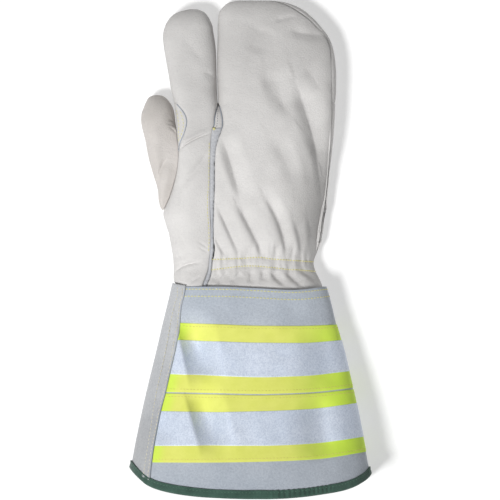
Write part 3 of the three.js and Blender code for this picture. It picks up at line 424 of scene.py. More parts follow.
def near_path(points, x, y, reach):
    """Distance from (x, y) to a polyline, the share of it where that point lies, and which side of it, 1 on its left seen along it."""
    best = np.full(np.shape(x), 1e9)
    share = np.zeros(np.shape(x))
    hand = np.ones(np.shape(x))
    pts = np.array(points, float)
    lo, hi = pts.min(0) - reach, pts.max(0) + reach
    m = (x > lo[0]) & (x < hi[0]) & (y > lo[1]) & (y < hi[1])
    if not m.any():
        return best, share, hand
    xs, ys = x[m], y[m]
    b, s, h = np.full(xs.shape, 1e9), np.zeros(xs.shape), np.ones(xs.shape)
    n = len(pts) - 1
    for k in range(n):
        e = pts[k + 1] - pts[k]
        t = np.clip(((xs - pts[k, 0]) * e[0] + (ys - pts[k, 1]) * e[1]) / max(e @ e, 1e-9), 0, 1)
        d = np.hypot(xs - pts[k, 0] - t * e[0], ys - pts[k, 1] - t * e[1])
        c = d < b
        b, s = np.where(c, d, b), np.where(c, (k + t) / n, s)
        h = np.where(c, np.sign(e[0] * (ys - pts[k, 1]) - e[1] * (xs - pts[k, 0])), h)
    best[m], share[m], hand[m] = b, s, h
    return best, share, hand


def bend(x0, y0, x1, y1, x2, y2, n=12):
    t = np.linspace(0, 1, n + 1)[:, None]
    # the middle point lies on the curve
    c = 2 * np.array([x1, y1]) - 0.5 * np.array([x0, y0]) - 0.5 * np.array([x2, y2])
    return (1 - t) ** 2 * np.array([x0, y0]) + 2 * t * (1 - t) * c + t * t * np.array([x2, y2])


def fold_height(panel, x, y):
    x, y = np.broadcast_arrays(np.asarray(x, float), np.asarray(y, float))
    z = np.zeros(x.shape)
    for f in FOLDS:
        if f[0] != panel:
            continue
        w, depth = f[8], f[9]
        lean = panel != "index" and panel != "thumb" and abs(f[3] - f[7]) > 6 and (w < 4 or depth < 0)
        d, t, side = near_path(bend(*f[2:8]), x, y, 9 * w if panel == "cuff" else 6.5 * w)
        if f[3] < f[7]:
            side = -side
        ends = smooth(-0.02, 0.3, t) * smooth(1.02, 0.7, t)
        # a valley is sharper at its bottom than a ridge at its top, and a leaning fold drops steeply on its left and comes up slowly on its right
        v = w * np.where(side > 0, 0.9, 1.7) if lean and depth > 0 else 0.9 * w
        shape = np.exp(-((d / v) ** 2)) if depth > 0 else 0.6 * np.exp(-((d / v) ** 2)) + 0.4 * np.exp(-d / (0.6 * v))
        shape = shape * (d < 3.1 * v)
        if panel == "cuff" and depth < 0:
            # a dent: the sheet drops at the crease and comes back slowly on its right
            drop = 1 - (1 - np.clip(d / (2.4 * w), 0, 1)) ** 1.9
            shape = drop * smooth(6 * w, 2.4 * w, d) * (side > 0) * smooth(0, 0.48, t) * smooth(1, 0.52, t) if w < 8 else np.exp(-((d / w) ** 2))
        elif lean and depth < 0:
            shape = np.where(side > 0, smooth(5 * w if w < 4 else 3.4 * w, 0, d), shape)
        z = z + depth * shape * (0.2 + 0.8 * ends)
    return z


# ---------------------------------------------------------------------------
# cross-sections, each at a given y
# ---------------------------------------------------------------------------
def cap(d, r):
    t = 1 - np.clip(d / r, 0, 1)
    return np.sqrt(np.maximum(0, 1 - t * t))


def pocket_section(y):
    y = np.asarray(y, float)
    free = y > CROTCH_Y
    c = cap(POCKET_TIP_Y - y, TIP_RADIUS)
    side = at(BACK, y, "side")
    near = smooth(CROTCH_Y + 16, CROTCH_Y, y)
    xl = np.where(free, at(POCKET, y, "left"), at(SEAM, y, "right"))
    xr = at(POCKET, y, "right")
    return dict(xl=xl, xr=xr, xc=mix(xl, xr, 0.46), zl=np.where(free, mix(side, at(SEAM, CROTCH_Y, "z"), near), at(SEAM, y, "z")), zr=side,
                top=mix(side, at(BACK, y, "pocket"), c), floor=mix(side, at(BACK, y, "bottom"), c), n=at(BACK, y, "round"), nl=LOWER_ROUND)


def index_section(y):
    y = np.asarray(y, float)
    free = y > CROTCH_Y
    c = cap(INDEX_TIP_Y - y, TIP_RADIUS)
    side = at(BACK, y, "side") - 1
    near = smooth(CROTCH_Y + 16, CROTCH_Y, y)
    xl = np.where(free, at(INDEX, y, "left"), at(HANDLEFT, y, "x"))
    xr = np.where(free, at(INDEX, y, "right"), at(SEAM, y, "left"))
    xc = mix(xl, xr, mix(mix(0.5, 0.62, near), 0.9, smooth(10, -20, y)))
    return dict(xl=xl, xr=xr, xc=xc, zl=np.where(free, mix(side, at(HANDLEFT, CROTCH_Y, "z"), near), at(HANDLEFT, y, "z")),
                zr=np.where(free, mix(side, at(SEAM, CROTCH_Y, "z"), near), at(SEAM, y, "z")),
                top=mix(side, at(BACK, y, "index"), c), floor=mix(side, at(BACK, y, "bottom"), c), n=at(BACK, y, "round"), nl=LOWER_ROUND)


def hand_section(y):
    y = np.minimum(np.asarray(y, float), CROTCH_Y)
    p = pocket_section(y)
    xl = at(HANDLEFT, y, "x")
    low = smooth(THUMB_OPEN_TOP - 5, THUMB_OPEN_TOP - 9, y) * smooth(THUMB_END_Y - 1, THUMB_END_Y + 1.5, y)
    p["rightCentre"] = p["xc"]
    p.update(xl=xl, xc=mix(xl, p["xr"], 0.5), zl=mix(at(HANDLEFT, y, "z"), p["floor"], low), nl=mix(LOWER_ROUND, 2.6, smooth(-2, -30, y)))
    # the corner is tighter under the index finger and where the thumb's sheet ends
    p["nlLeft"] = p["nl"] + 2.8 * smooth(CROTCH_Y - 30, CROTCH_Y, y) + 6 * smooth(2, THUMB_END_Y - 2, y) * smooth(64, 42, y)
    return p


def upper(s, a):
    c, q = np.cos(a), 2 / s["n"]
    r, h = np.abs(c) ** q, np.maximum(0, np.sin(a)) ** q
    left = c > 0
    return (np.where(left, s["xc"] - (s["xc"] - s["xl"]) * r, s["xc"] + (s["xr"] - s["xc"]) * r),
            np.where(left, s["zl"] + (s["top"] - s["zl"]) * h, s["zr"] + (s["top"] - s["zr"]) * h))


def upper_angle(s, x):
    left = np.arccos(np.clip((s["xc"] - x) / (s["xc"] - s["xl"]), 0, 1) ** (s["n"] / 2))
    right = math.pi - np.arccos(np.clip((x - s["xc"]) / (s["xr"] - s["xc"]), 0, 1) ** (s["n"] / 2))
    return np.where(x < s["xc"], left, right)


def lower(s, a, n=None):
    n = s["nl"] if n is None else n
    c = np.cos(a)
    q = 2 / np.where(c > 0, n, s.get("nlLeft", n))
    r, h = np.abs(c) ** q, np.maximum(0, np.sin(a)) ** q
    side = np.where(c > 0, s["zr"], s["zl"])
    x = np.where(c > 0, s["xc"] + (s["xr"] - s["xc"]) * r, s["xc"] - (s["xc"] - s["xl"]) * r)
    return x, np.maximum(s["floor"], side - (side - s["floor"] + SAG * smooth(0, 8, side - s["floor"])) * h)


# height changes that run across the wrist: the two stitched rows of the channel and its gathers
WRIST_ROWS = [[(209.9, 259.6), (240, 258.5), (259, 257.4), (272, 259), (291, 260.3), (315, 262)], [(209.9, 270), (250, 265.9), (272, 267.6), (287.8, 269.5), (297.4, 269.9), (315, 271.5)]]


def px(points):
    """Points measured on the flat view, in its units of 0.9036 mm, as mm."""
    return [((a - 250.2) * 0.9036, (249.6 - b) * 0.9036) for a, b in points]


def wrist_height(x, y):
    z = 0
    for row in WRIST_ROWS:
        d, _, _ = near_path(px(row), *np.broadcast_arrays(x, y), 8)
        z = z - 0.6 * np.exp(-((d / 1.3) ** 2))
    k = smooth(-31, -16, y) * smooth(12, -4, y)
    g = noise(x * 1.0, y * 0.16, 0, 4.6, 3.1) + 0.6 * noise(x, y * 0.2, 0, 2.7, 9.2)
    band = smooth(-7, -10, y) * smooth(-18.5, -15.5, y)
    return z + (0.95 + 0.2 * band) * k * g


def small(x, y, z, size=26, amount=0.35):
    return amount * noise(x, y, z, size, 1.7) + 0.5 * amount * noise(x, y, z, size * 0.42, 4.4)


def snug(y):
    """The hand leather swells up to the gauntlet where it comes out of it."""
    return 0.9 * np.exp(-(((y + 33.5) / 5.5) ** 2))


def back_point(u, y):
    s = pocket_section(y)
    free = y > CROTCH_Y
    s["zl"] = s["zl"] + np.where(free, HALF_GAP, 0)
    s["xl"] = s["xl"] + np.where(free, 0, HALF_GAP)
    s["zr"] = s["zr"] + HALF_GAP
    end = upper_angle(s, np.minimum(s["xr"], at(DORSAL, y, "x")) - HALF_GAP)
    x, z = upper(s, mix(0, np.maximum(end, math.pi / 2 + 0.2), u))
    k = smooth(0, 0.05, u) * smooth(1, 0.95, u)
    wide = 0.7 * noise(x, y, 0, 37, 6.4) * smooth(225, 200, y) * smooth(-10, 20, y)
    z = z + (fold_height("back", x, y) + wrist_height(x, y) + wide) * k + small(x, y, z) * k * smooth(225, 215, y) + snug(y) * smooth(1, 0.7, u)
    return x, y + 0 * x, z


def index_point(u, y):
    s = index_section(y)
    free = y > CROTCH_Y
    s["zl"] = s["zl"] + HALF_GAP
    s["zr"] = s["zr"] + np.where(free, HALF_GAP, 0)
    s["xr"] = s["xr"] - np.where(free, 0, HALF_GAP)
    start = np.where((y < CRESCENT_TOP) & (y > CRESCENT_END), upper_angle(s, at(CRESCENT, y, "x") + HALF_GAP), 0)
    x, z = upper(s, mix(start, math.pi, u))
    k = smooth(0, 0.1, u) * smooth(1, 0.92, u)
    z = z + fold_height("index", x, y) * k + small(x, y, z) * k * smooth(217, 209, y) + snug(y) * smooth(0, 0.3, u)
    return x, y + 0 * x, z


def crescent_point(u, y):
    s = index_section(np.minimum(y, CROTCH_Y))
    s["zl"] = s["zl"] + HALF_GAP
    end = upper_angle(s, at(CRESCENT, y, "x") - HALF_GAP)
    x, z = upper(s, mix(0, end, u))
    return x, y + 0 * x, z


def strip_point(u, y):
    left, right = at(SEAM, y, "left") + HALF_GAP, at(SEAM, y, "right") - HALF_GAP
    x = mix(left, right, u)
    return x, y + 0 * x, at(SEAM, y, "z") + snug(y) + 0.9 * (1 - (2 * u - 1) ** 2) * smooth(0, 6, CROTCH_Y - y + 2)


def under_point(section, u, y, flank):
    s = section(y)
    if not flank:
        low = dict(s, zl=s["zl"] - HALF_GAP, zr=s["zr"] - HALF_GAP)
        x, z = lower(low, math.pi * u)
        return x, y + 0 * x, z
    low = dict(s, zl=np.maximum(s["floor"], s["zl"] - HALF_GAP))
    up = dict(s, xc=s.get("rightCentre", s["xc"]))
    start = upper_angle(up, np.minimum(s["xr"], at(DORSAL, y, "x")) - HALF_GAP)
    share = 0.2
    a = np.minimum(math.pi, mix(start + HALF_GAP / 10, math.pi, np.minimum(u / share, 1)))
    xa, za = upper(up, a)
    xb, zb = lower(low, math.pi * np.maximum(u - share, 0) / (1 - share))
    return np.where(u < share, xa, xb), y + 0 * xa, np.where(u < share, za, zb)


def thumb_point(u, y):
    c = cap(THUMB_TIP_Y - y, THUMB_TIP_RADIUS)
    side = at(THUMBTOP, y, "side")
    crown, floor = mix(side, at(THUMBTOP, y, "crown"), c), mix(side, 0, c)
    xl = at(THUMB, y, "left")
    joined = smooth(118, 107, y)
    edge = at(HANDLEFT, y, "x") - 0.08
    xr = np.minimum(mix(at(THUMB, y, "right"), edge, joined), edge)
    opened = smooth(THUMB_OPEN_TOP, THUMB_OPEN_TOP - 9, y)
    # the right side is a wall that reaches up to the hand's edge where the two lie side by side
    z_join = mix(side, np.minimum(at(HANDLEFT, y, "z"), crown - 0.6), joined)
    z_top = np.minimum(mix(side, z_join, opened), z_join - 0.8)
    z_low = mix(side, floor, opened)
    shut = opened < 1
    s = dict(xl=xl, xr=xr, xc=mix(xl, xr, mix(0.5, 0.42, opened)), zl=side, zr=z_join, top=crown, floor=floor, n=THUMB_ROUND, nl=THUMB_LOWER_ROUND)
    wall = 0.06
    t = np.clip((u - wall) / (0.5 - wall), 0, 1)
    xa, za = upper(s, math.pi * (1 - t))
    za = np.where(u < wall, mix(z_top, z_join, np.clip(u / wall, 0, 1)), za)
    k = smooth(0, 0.18, t) * smooth(1, 0.84, t)
    za = za + (fold_height("thumb", xa, y) + small(xa, y, za, 20, 0.3)) * k
    low = dict(s, zr=z_low - np.where(shut, HALF_GAP, 0))
    xb, zb = lower(low, math.pi * (2 - 2 * np.maximum(u, 0.5)))
    return np.where(u < 0.5, xa, xb), y + 0 * xa, np.where(u < 0.5, za, zb)


# ---------------------------------------------------------------------------
# the gauntlet
# ---------------------------------------------------------------------------
def cuff_section(y):
    xl, xr, side = at(CUFF, y, "left"), at(CUFF, y, "right"), at(CUFF, y, "side")
    return dict(xl=xl, xr=xr, xc=(xl + xr) / 2, zl=side, zr=side, top=at(CUFF, y, "top"),
                floor=HEM_LIFT * smooth(HEM_LIFT_Y, HEM_LIFT_Y - 14, y), n=at(CUFF, y, "round"), nl=CUFF_LOWER_ROUND)


def cuff_point(a, y):
    s = cuff_section(y)
    t = np.mod(a, TAU)
    xa, za = upper(s, np.minimum(t, math.pi))
    xb, zb = lower(s, np.maximum(t - math.pi, 0))
    top = t < math.pi
    x = np.where(top, xa, xb)
    k = smooth(0, 0.25, np.sin(t))
    w = small(x, y, za, 38, 0.75) + 0.25 * noise(x, y, za, 9, 2.2)
    z = np.where(top, za + fold_height("cuff", x, y) + w * k, zb)
    return x, y + 0 * x, z


def lap_angle(y):
    return upper_angle(cuff_section(y), at(LAP, y, "x"))


def right_seam_angle(y):
    s = cuff_section(y)
    h = np.clip((s["zr"] - RIGHT_SEAM_Z) / (s["zr"] - s["floor"] + SAG), 0, 1)
    return math.pi + np.arcsin(h ** (CUFF_LOWER_ROUND / 2))


hem_line = Curve([r[0] for r in HEM], [r[1] for r in HEM])


def hem_y(a):
    t = np.mod(a, TAU)
    c = np.cos(t)
    n = np.where(t < math.pi, HEM_ROUND, CUFF_LOWER_ROUND)
    return hem_line(0.5 - 0.5 * np.sign(c) * np.abs(c) ** (2 / n))


def across(x, y):
    left = at(LAP, y, "x")
    return np.clip((x - left) / (at(CUFF, y, "right") - left), 0, 1)


def back_panel_point(u, edge, first=-120.0, gap=HALF_GAP):
    y = np.zeros(np.shape(u)) + first
    for _ in range(8):
        s, g = cuff_section(y), gap / 30
        a = mix(lap_angle(y) + g, right_seam_angle(y) - g, u)
        x = np.where(a < math.pi, upper(s, np.minimum(a, math.pi))[0], s["xr"])
        y = edge(a, across(x, y))
    return cuff_point(a, y)


def line(name):
    return lambda a, s: LINES[name](s)


def between(e, f, t):
    return lambda a, s: mix(e(a, s), f(a, s), t)


def lower_edge(a, s=0):
    return hem_y(a) + 1.0


def palm_top(a):
    return PALM_TOP_Y + 3.2 * np.maximum(0, np.cos(a)) ** 4


def palm_panel_point(u, v):
    y = mix(-40, -200, v) + 0 * u
    for _ in range(8):
        g = HALF_GAP / 20
        a = mix(right_seam_angle(y) + g, TAU + lap_angle(y) - g, u)
        y = mix(palm_top(a), lower_edge(a), v)
    return cuff_point(a, y)


# ---------------------------------------------------------------------------
# meshes
# ---------------------------------------------------------------------------
def normals_of(p, away):
    du = np.gradient(p, axis=1)
    dv = np.gradient(p, axis=0)
    n = np.cross(du, dv)
    size = np.linalg.norm(n, axis=2)
    n = n / np.maximum(size, 1e-9)[..., None]
    bad = size < 1e-7
    for i in range(1, p.shape[0]):
        n[i][bad[i]] = n[i - 1][bad[i]]
    for i in range(p.shape[0] - 2, -1, -1):
        n[i][bad[i]] = n[i + 1][bad[i]]
    flip = np.sum(np.einsum("ijk,ijk->ij", n, p - away(p)) * size) < 0
    return (-n if flip else n), flip


def lengths(p):
    du = np.concatenate([np.zeros((p.shape[0], 1)), np.cumsum(np.linalg.norm(np.diff(p, axis=1), axis=2), axis=1)], axis=1)
    dv = np.concatenate([np.zeros((1, p.shape[1])), np.cumsum(np.linalg.norm(np.diff(p, axis=0), axis=2), axis=0)], axis=0)
    return du, dv


def new_object(name, verts, quads, uv, material, smooth_faces=True):
    me = bpy.data.meshes.new(name)
    verts = np.asarray(verts, float).reshape(-1, 3) * MM
    quads = np.asarray(quads, np.int32)
    me.vertices.add(len(verts))
    me.vertices.foreach_set("co", verts.ravel())
    me.loops.add(quads.size)
    me.loops.foreach_set("vertex_index", quads.ravel())
    me.polygons.add(len(quads))
    me.polygons.foreach_set("loop_start", np.arange(len(quads), dtype=np.int32) * quads.shape[1])
    me.polygons.foreach_set("loop_total", np.full(len(quads), quads.shape[1], np.int32))
    me.update(calc_edges=True)
    if uv is not None:
        layer = me.uv_layers.new(name="UVMap")
        layer.data.foreach_set("uv", (np.asarray(uv, float).reshape(-1, 2) * MM)[quads.ravel()].ravel())
    me.polygons.foreach_set("use_smooth", np.full(len(quads), smooth_faces))
    me.validate()
    ob = bpy.data.objects.new(name, me)
    bpy.context.scene.collection.objects.link(ob)
    me.materials.append(material)
    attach(ob, "root")
    return ob


def shell(name, p, material, wall, away, edges=None, lift=None, rim=0.34, node=None):
    """A closed shell from a grid of outer points. edges gives (depth, width) of the turned-down seam on the four sides: first row, last row, first column, last column."""
    n, flip = normals_of(p, away)
    du, dv = lengths(p)
    if edges:
        total_u, total_v = du[:, -1:], dv[-1:, :]
        pucker = 1 + 0.35 * noise(p[..., 0], p[..., 1], p[..., 2], 3.2, 5.5)
        drop = 0
        for (depth, width), d in zip(edges, (dv, total_v - dv, du, total_u - du)):
            if np.any(depth):
                drop = drop + depth * np.exp(-((d / width) ** 2)) * pucker
        p = p - n * drop[..., None]
    if lift is not None:
        p = p + n * lift(p, du, dv)[..., None]
    inner = p - n * wall
    R, C = p.shape[:2]
    idx = np.arange(R * C).reshape(R, C)
    grid = np.stack([idx[:-1, :-1], idx[:-1, 1:], idx[1:, 1:], idx[1:, :-1]], axis=-1).reshape(-1, 4)
    ring_ij = [(0, j) for j in range(C)] + [(i, C - 1) for i in range(1, R)] + [(R - 1, j) for j in range(C - 2, -1, -1)] + [(i, 0) for i in range(R - 2, 0, -1)]
    ring_i, ring_j = np.array([r[0] for r in ring_ij]), np.array([r[1] for r in ring_ij])
    out = p[ring_i, ring_j] - p[np.clip(ring_i, 1, R - 2), np.clip(ring_j, 1, C - 2)]
    nr = n[ring_i, ring_j]
    out = out - np.einsum("ij,ij->i", out, nr)[:, None] * nr
    out = out / np.maximum(np.linalg.norm(out, axis=1), 1e-9)[:, None]
    o, q = p[ring_i, ring_j], inner[ring_i, ring_j]
    rings = [mix(o, q, 0.2) + out * wall * rim * 0.8, mix(o, q, 0.5) + out * wall * rim, mix(o, q, 0.8) + out * wall * rim * 0.8]
    m = len(ring_ij)
    base = 2 * R * C
    chain = [idx[ring_i, ring_j]] + [base + k * m + np.arange(m) for k in range(3)] + [R * C + idx[ring_i, ring_j]]
    sides = []
    for a, b in zip(chain[:-1], chain[1:]):
        sides.append(np.stack([a, b, np.roll(b, -1), np.roll(a, -1)], axis=-1))
    sides = np.concatenate(sides)
    faces = np.concatenate([grid, grid[:, ::-1] + R * C, sides])
    if flip:
        faces = faces[:, ::-1]
    uv0 = np.stack([du, dv], axis=-1).reshape(-1, 2)
    uvr = uv0[idx[ring_i, ring_j]]
    verts = np.concatenate([p.reshape(-1, 3), inner.reshape(-1, 3)] + rings)
    ob = new_object(name, verts, faces, np.concatenate([uv0, uv0, uvr, uvr, uvr]), material)
    if node:
        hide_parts(*([node] if isinstance(node, str) else node))
    return ob


def cols(n):
    return np.linspace(0, 1, n + 1)[None, :]


def tip_rows(y0, y1, n_tip, step, radius=TIP_RADIUS):
    t = np.arange(n_tip) / n_tip
    a = y0 - radius * (1 - np.cos(t * math.pi / 2))
    a[0] -= 0.02
    n = max(2, int(round(abs(y0 - radius - y1) / step)))
    return np.concatenate([a, np.linspace(y0 - radius, y1, n + 1)])[:, None]


def rows(y0, y1, step):
    return np.linspace(y0, y1, max(2, int(round(abs(y0 - y1) / step))) + 1)[:, None]


def grid3(xyz):
    return np.stack(np.broadcast_arrays(*xyz), axis=-1).astype(float)


# ---------------------------------------------------------------------------
# materials
# ---------------------------------------------------------------------------
def srgb(r, g, b):
    f = lambda c: c / 12.92 if c <= 0.04045 else ((c + 0.055) / 1.055) ** 2.4
    return (f(r / 255), f(g / 255), f(b / 255), 1.0)


class Look:
    """A Principled material with a colour chain and a bump chain."""

    def __init__(self, name, rough, metallic=0.0, sheen=0.0, specular=0.5, coords="Object"):
        self.m = bpy.data.materials.new(name)
        self.m.use_nodes = True
        self.nt = self.m.node_tree
        self.b = self.nt.nodes["Principled BSDF"]
        self.b.inputs["Roughness"].default_value = rough
        self.b.inputs["Metallic"].default_value = metallic
        self.b.inputs["Specular IOR Level"].default_value = specular
        self.b.inputs["Sheen Weight"].default_value = sheen
        self.b.inputs["Sheen Roughness"].default_value = 0.6
        self.tc = self.nt.nodes.new("ShaderNodeTexCoord")
        self.coords = self.tc.outputs[coords]
        self.normal = None

    def link(self, a, b):
        self.nt.links.new(a, b)

    def vec(self, stretch=(1, 1, 1), rotate=0.0, coords=None):
        n = self.nt.nodes.new("ShaderNodeMapping")
        n.inputs["Scale"].default_value = stretch
        n.inputs["Rotation"].default_value = (0, 0, rotate)
        self.link(self.tc.outputs[coords] if coords else self.coords, n.inputs["Vector"])
        return n.outputs["Vector"]

    def noise(self, size_mm, detail=3.0, rough=0.55, stretch=(1, 1, 1), distortion=0.0, coords=None):
        n = self.nt.nodes.new("ShaderNodeTexNoise")
        n.inputs["Scale"].default_value = 1000.0 / size_mm
        n.inputs["Detail"].default_value = detail
        n.inputs["Roughness"].default_value = rough
        n.inputs["Distortion"].default_value = distortion
        self.link(self.vec(stretch, coords=coords), n.inputs["Vector"])
        return n.outputs["Fac"]

    def cells(self, size_mm, feature="F1", out="Distance", stretch=(1, 1, 1), coords=None):
        n = self.nt.nodes.new("ShaderNodeTexVoronoi")
        n.feature = feature
        n.inputs["Scale"].default_value = 1000.0 / size_mm
        self.link(self.vec(stretch, coords=coords), n.inputs["Vector"])
        return n.outputs[out]

    def wave(self, size_mm, direction, distortion=0.0, coords="UV", rotate=0.0):
        n = self.nt.nodes.new("ShaderNodeTexWave")
        n.bands_direction = direction
        n.inputs["Scale"].default_value = 1000.0 / size_mm / 3.1831 * 1.0
        n.inputs["Distortion"].default_value = distortion
        n.inputs["Detail"].default_value = 1.0
        self.link(self.vec(rotate=rotate, coords=coords), n.inputs["Vector"])
        return n.outputs["Fac"]

    def ramp(self, fac, stops):
        n = self.nt.nodes.new("ShaderNodeValToRGB")
        e = n.color_ramp.elements
        while len(e) < len(stops):
            e.new(0.5)
        for k, (p, c) in enumerate(stops):
            e[k].position = p
            e[k].color = c
        self.link(fac, n.inputs["Fac"])
        return n.outputs["Color"]

    def blend(self, fac, a, b, mode="MIX"):
        n = self.nt.nodes.new("ShaderNodeMix")
        n.data_type = "RGBA"
        n.blend_type = mode
        if isinstance(fac, float):
            n.inputs["Factor"].default_value = fac
        else:
            self.link(fac, n.inputs["Factor"])
        for k, c in (("A", a), ("B", b)):
            s = [i for i in n.inputs if i.name == k and i.type == "RGBA"][0]
            if isinstance(c, tuple):
                s.default_value = c
            else:
                self.link(c, s)
        return [o for o in n.outputs if o.type == "RGBA"][0]

    def math(self, op, a, b):
        n = self.nt.nodes.new("ShaderNodeMath")
        n.operation = op
        for k, c in enumerate((a, b)):
            if isinstance(c, float):
                n.inputs[k].default_value = c
            else:
                self.link(c, n.inputs[k])
        return n.outputs[0]

    def span(self, value, low, high):
        n = self.nt.nodes.new("ShaderNodeMapRange")
        n.interpolation_type = "SMOOTHSTEP"
        n.inputs["From Min"].default_value = low
        n.inputs["From Max"].default_value = high
        self.link(value, n.inputs["Value"])
        return n.outputs["Result"]

    def colour(self, socket):
        self.link(socket, self.b.inputs["Base Color"])

    def bump(self, height, mm, strength=1.0):
        n = self.nt.nodes.new("ShaderNodeBump")
        n.inputs["Strength"].default_value = strength
        n.inputs["Distance"].default_value = mm * MM
        self.link(height, n.inputs["Height"])
        if self.normal is not None:
            self.link(self.normal, n.inputs["Normal"])
        self.normal = n.outputs["Normal"]
        self.link(self.normal, self.b.inputs["Normal"])

    def roughness(self, fac, low, high):
        n = self.nt.nodes.new("ShaderNodeMapRange")
        n.inputs["To Min"].default_value = low
        n.inputs["To Max"].default_value = high
        self.link(fac, n.inputs["Value"])
        self.link(n.outputs["Result"], self.b.inputs["Roughness"])


def painted_falloff(k, colour, unshaded_at, shaded_at, share):
    """The colour darkened by degrees from one y of the object to another: painted shade where the light falls off."""
    split = k.nt.nodes.new("ShaderNodeSeparateXYZ")
    k.link(k.tc.outputs["Object"], split.inputs["Vector"])
    far = k.span(split.outputs["Y"], unshaded_at, shaded_at)
    return k.blend(1.0, colour, k.ramp(far, [(0.0, (1, 1, 1, 1)), (1.0, (share, share, share, 1))]), "MULTIPLY")


def painted_side_shade(k, colour, share):
    """The colour darkened by degrees towards the outer side of the hand: painted shade where the light falls off there.
    """
    split = k.nt.nodes.new("ShaderNodeSeparateXYZ")
    k.link(k.tc.outputs["Object"], split.inputs["Vector"])
    along = k.ramp(k.span(split.outputs["Y"], 0.13, -0.03), [(0.0, (0, 0, 0, 1)), (0.4, (1, 1, 1, 1)), (0.8, (1, 1, 1, 1)), (1.0, (0, 0, 0, 1))])
    far = k.math("MULTIPLY", k.span(split.outputs["X"], 0.022, 0.056), along)
    return k.blend(1.0, colour, k.ramp(far, [(0.0, (1, 1, 1, 1)), (1.0, (share, share, share, 1))]), "MULTIPLY")


def grain_leather(name, light, dark):
    k = Look(name, 0.6, specular=0.35)
    patches = k.noise(34, 3, 0.5)
    base = k.ramp(patches, [(0.3, dark), (0.7, light)])
    pores = k.cells(1.25)
    lines = k.noise(3.4, 4, 0.66, stretch=(1, 1.8, 1), distortion=1.6)
    tone = k.blend(0.6, base, k.ramp(pores, [(0.0, (0.9, 0.9, 0.9, 1)), (0.4, (1, 1, 1, 1))]), "MULTIPLY")
    tone = k.blend(0.7, tone, k.ramp(lines, [(0.36, (0.93, 0.93, 0.94, 1)), (0.52, (1, 1, 1, 1))]), "MULTIPLY")
    # painted shade: the leather darkened towards the fingertips and towards the outer side of the hand, where the light
    # falls off
    k.colour(painted_side_shade(k, painted_falloff(k, tone, 0.07, 0.205, 0.89), 0.83))
    k.bump(k.noise(17, 3, 0.5, distortion=0.4), 0.6, 0.5)
    k.bump(lines, 0.6, 0.7)
    k.bump(pores, 0.16, 0.55)
    k.roughness(patches, 0.56, 0.68)
    return k.m


def split_leather(name, light, dark, hem=0.87):
    k = Look(name, 0.95, sheen=0.2, specular=0.15)
    nap = k.noise(1.7, 4, 0.8)
    clouds = k.noise(40, 3, 0.5)
    base = k.ramp(clouds, [(0.32, dark), (0.68, light)])
    tone = k.blend(0.9, base, k.ramp(nap, [(0.34, (0.76, 0.77, 0.79, 1)), (0.6, (1, 1, 1, 1))]), "MULTIPLY")
    # painted shade: the suede darkened towards the hem, down to the share hem of its colour, where the light falls off
    k.colour(painted_falloff(k, tone, -0.06, -0.2, hem))
    k.bump(clouds, 0.9, 0.5)
    k.bump(nap, 0.55, 0.6)
    return k.m


def weave_bump(k, pitch, depth):
    weave = k.math("MULTIPLY", k.wave(pitch, "X"), k.wave(pitch, "Y"))
    k.bump(weave, depth, 0.7)
    return k.ramp(weave, [(0.0, (0.87, 0.87, 0.87, 1)), (0.5, (1, 1, 1, 1))])


def woven(name, light, dark, pitch, rough=0.8, sheen=0.15, depth=0.16):
    k = Look(name, rough, sheen=sheen, specular=0.2, coords="UV")
    base = k.ramp(k.noise(13, 3, 0.6), [(0.3, dark), (0.7, light)])
    k.colour(k.blend(0.45, base, weave_bump(k, pitch, depth), "MULTIPLY"))
    k.bump(k.noise(9, 2, 0.5), 0.35, 0.4)
    return k.m


def bright_tape(name, light, dark, deep_tone_and_shade, pitch):
    """A fluorescent weave whose colour deepens at its left end and towards the right side of the gauntlet: partly the
    tape's own greener tone there, partly painted shade where the weave dips and turns away from the light; it also
    darkens towards the hem as painted shade.
    """
    k = Look(name, 0.78, sheen=0.1, specular=0.2, coords="UV")
    base = k.ramp(k.noise(15, 3, 0.6), [(0.3, dark), (0.7, light)])
    split = k.nt.nodes.new("ShaderNodeSeparateXYZ")
    k.link(k.tc.outputs["Object"], split.inputs["Vector"])
    ends = k.nt.nodes.new("ShaderNodeSeparateXYZ")
    k.link(k.tc.outputs["UV"], ends.inputs["Vector"])
    # painted shade: the deeper colour is blended in on the right side and at the left end, where the weave turns away
    # from the light, together with its own greener tone
    right = k.span(split.outputs["X"], 0.022, 0.092)
    left = k.span(ends.outputs["X"], 0.014, 0.002)
    fac = k.math("MAXIMUM", right, k.math("MULTIPLY", left, 0.75))
    k.colour(painted_falloff(k, k.blend(0.4, k.blend(fac, base, deep_tone_and_shade), weave_bump(k, pitch, 0.14), "MULTIPLY"), -0.08, -0.19, 0.9))
    k.bump(k.noise(9, 2, 0.5), 0.35, 0.4)
    return k.m


def reflective(name, light, dark):
    k = Look(name, 0.55, metallic=0.2, specular=0.4)
    beads = k.cells(1.0, out="Color")
    speck = k.noise(1.4, 3, 0.85)
    clouds = k.noise(40, 2, 0.5)
    base = k.ramp(clouds, [(0.3, dark), (0.7, light)])
    grains = k.ramp(beads, [(0.2, (0.82, 0.84, 0.87, 1)), (0.75, (1, 1, 1, 1))])
    sparkle = k.ramp(speck, [(0.38, (0.86, 0.87, 0.9, 1)), (0.55, (1, 1, 1, 1))])
    # painted shade: the beads darkened towards the hem, where the light falls off
    k.colour(painted_falloff(k, k.blend(0.8, k.blend(0.9, base, grains, "MULTIPLY"), sparkle, "MULTIPLY"), -0.1, -0.17, 0.94))
    k.bump(speck, 0.2, 0.6)
    return k.m


def thread(name, colour, dark):
    k = Look(name, 0.7, sheen=0.1, specular=0.3)
    k.colour(k.ramp(k.noise(0.9, 2, 0.6), [(0.3, dark), (0.7, colour)]))
    k.bump(k.noise(0.5, 2, 0.6), 0.08, 0.6)
    return k.m


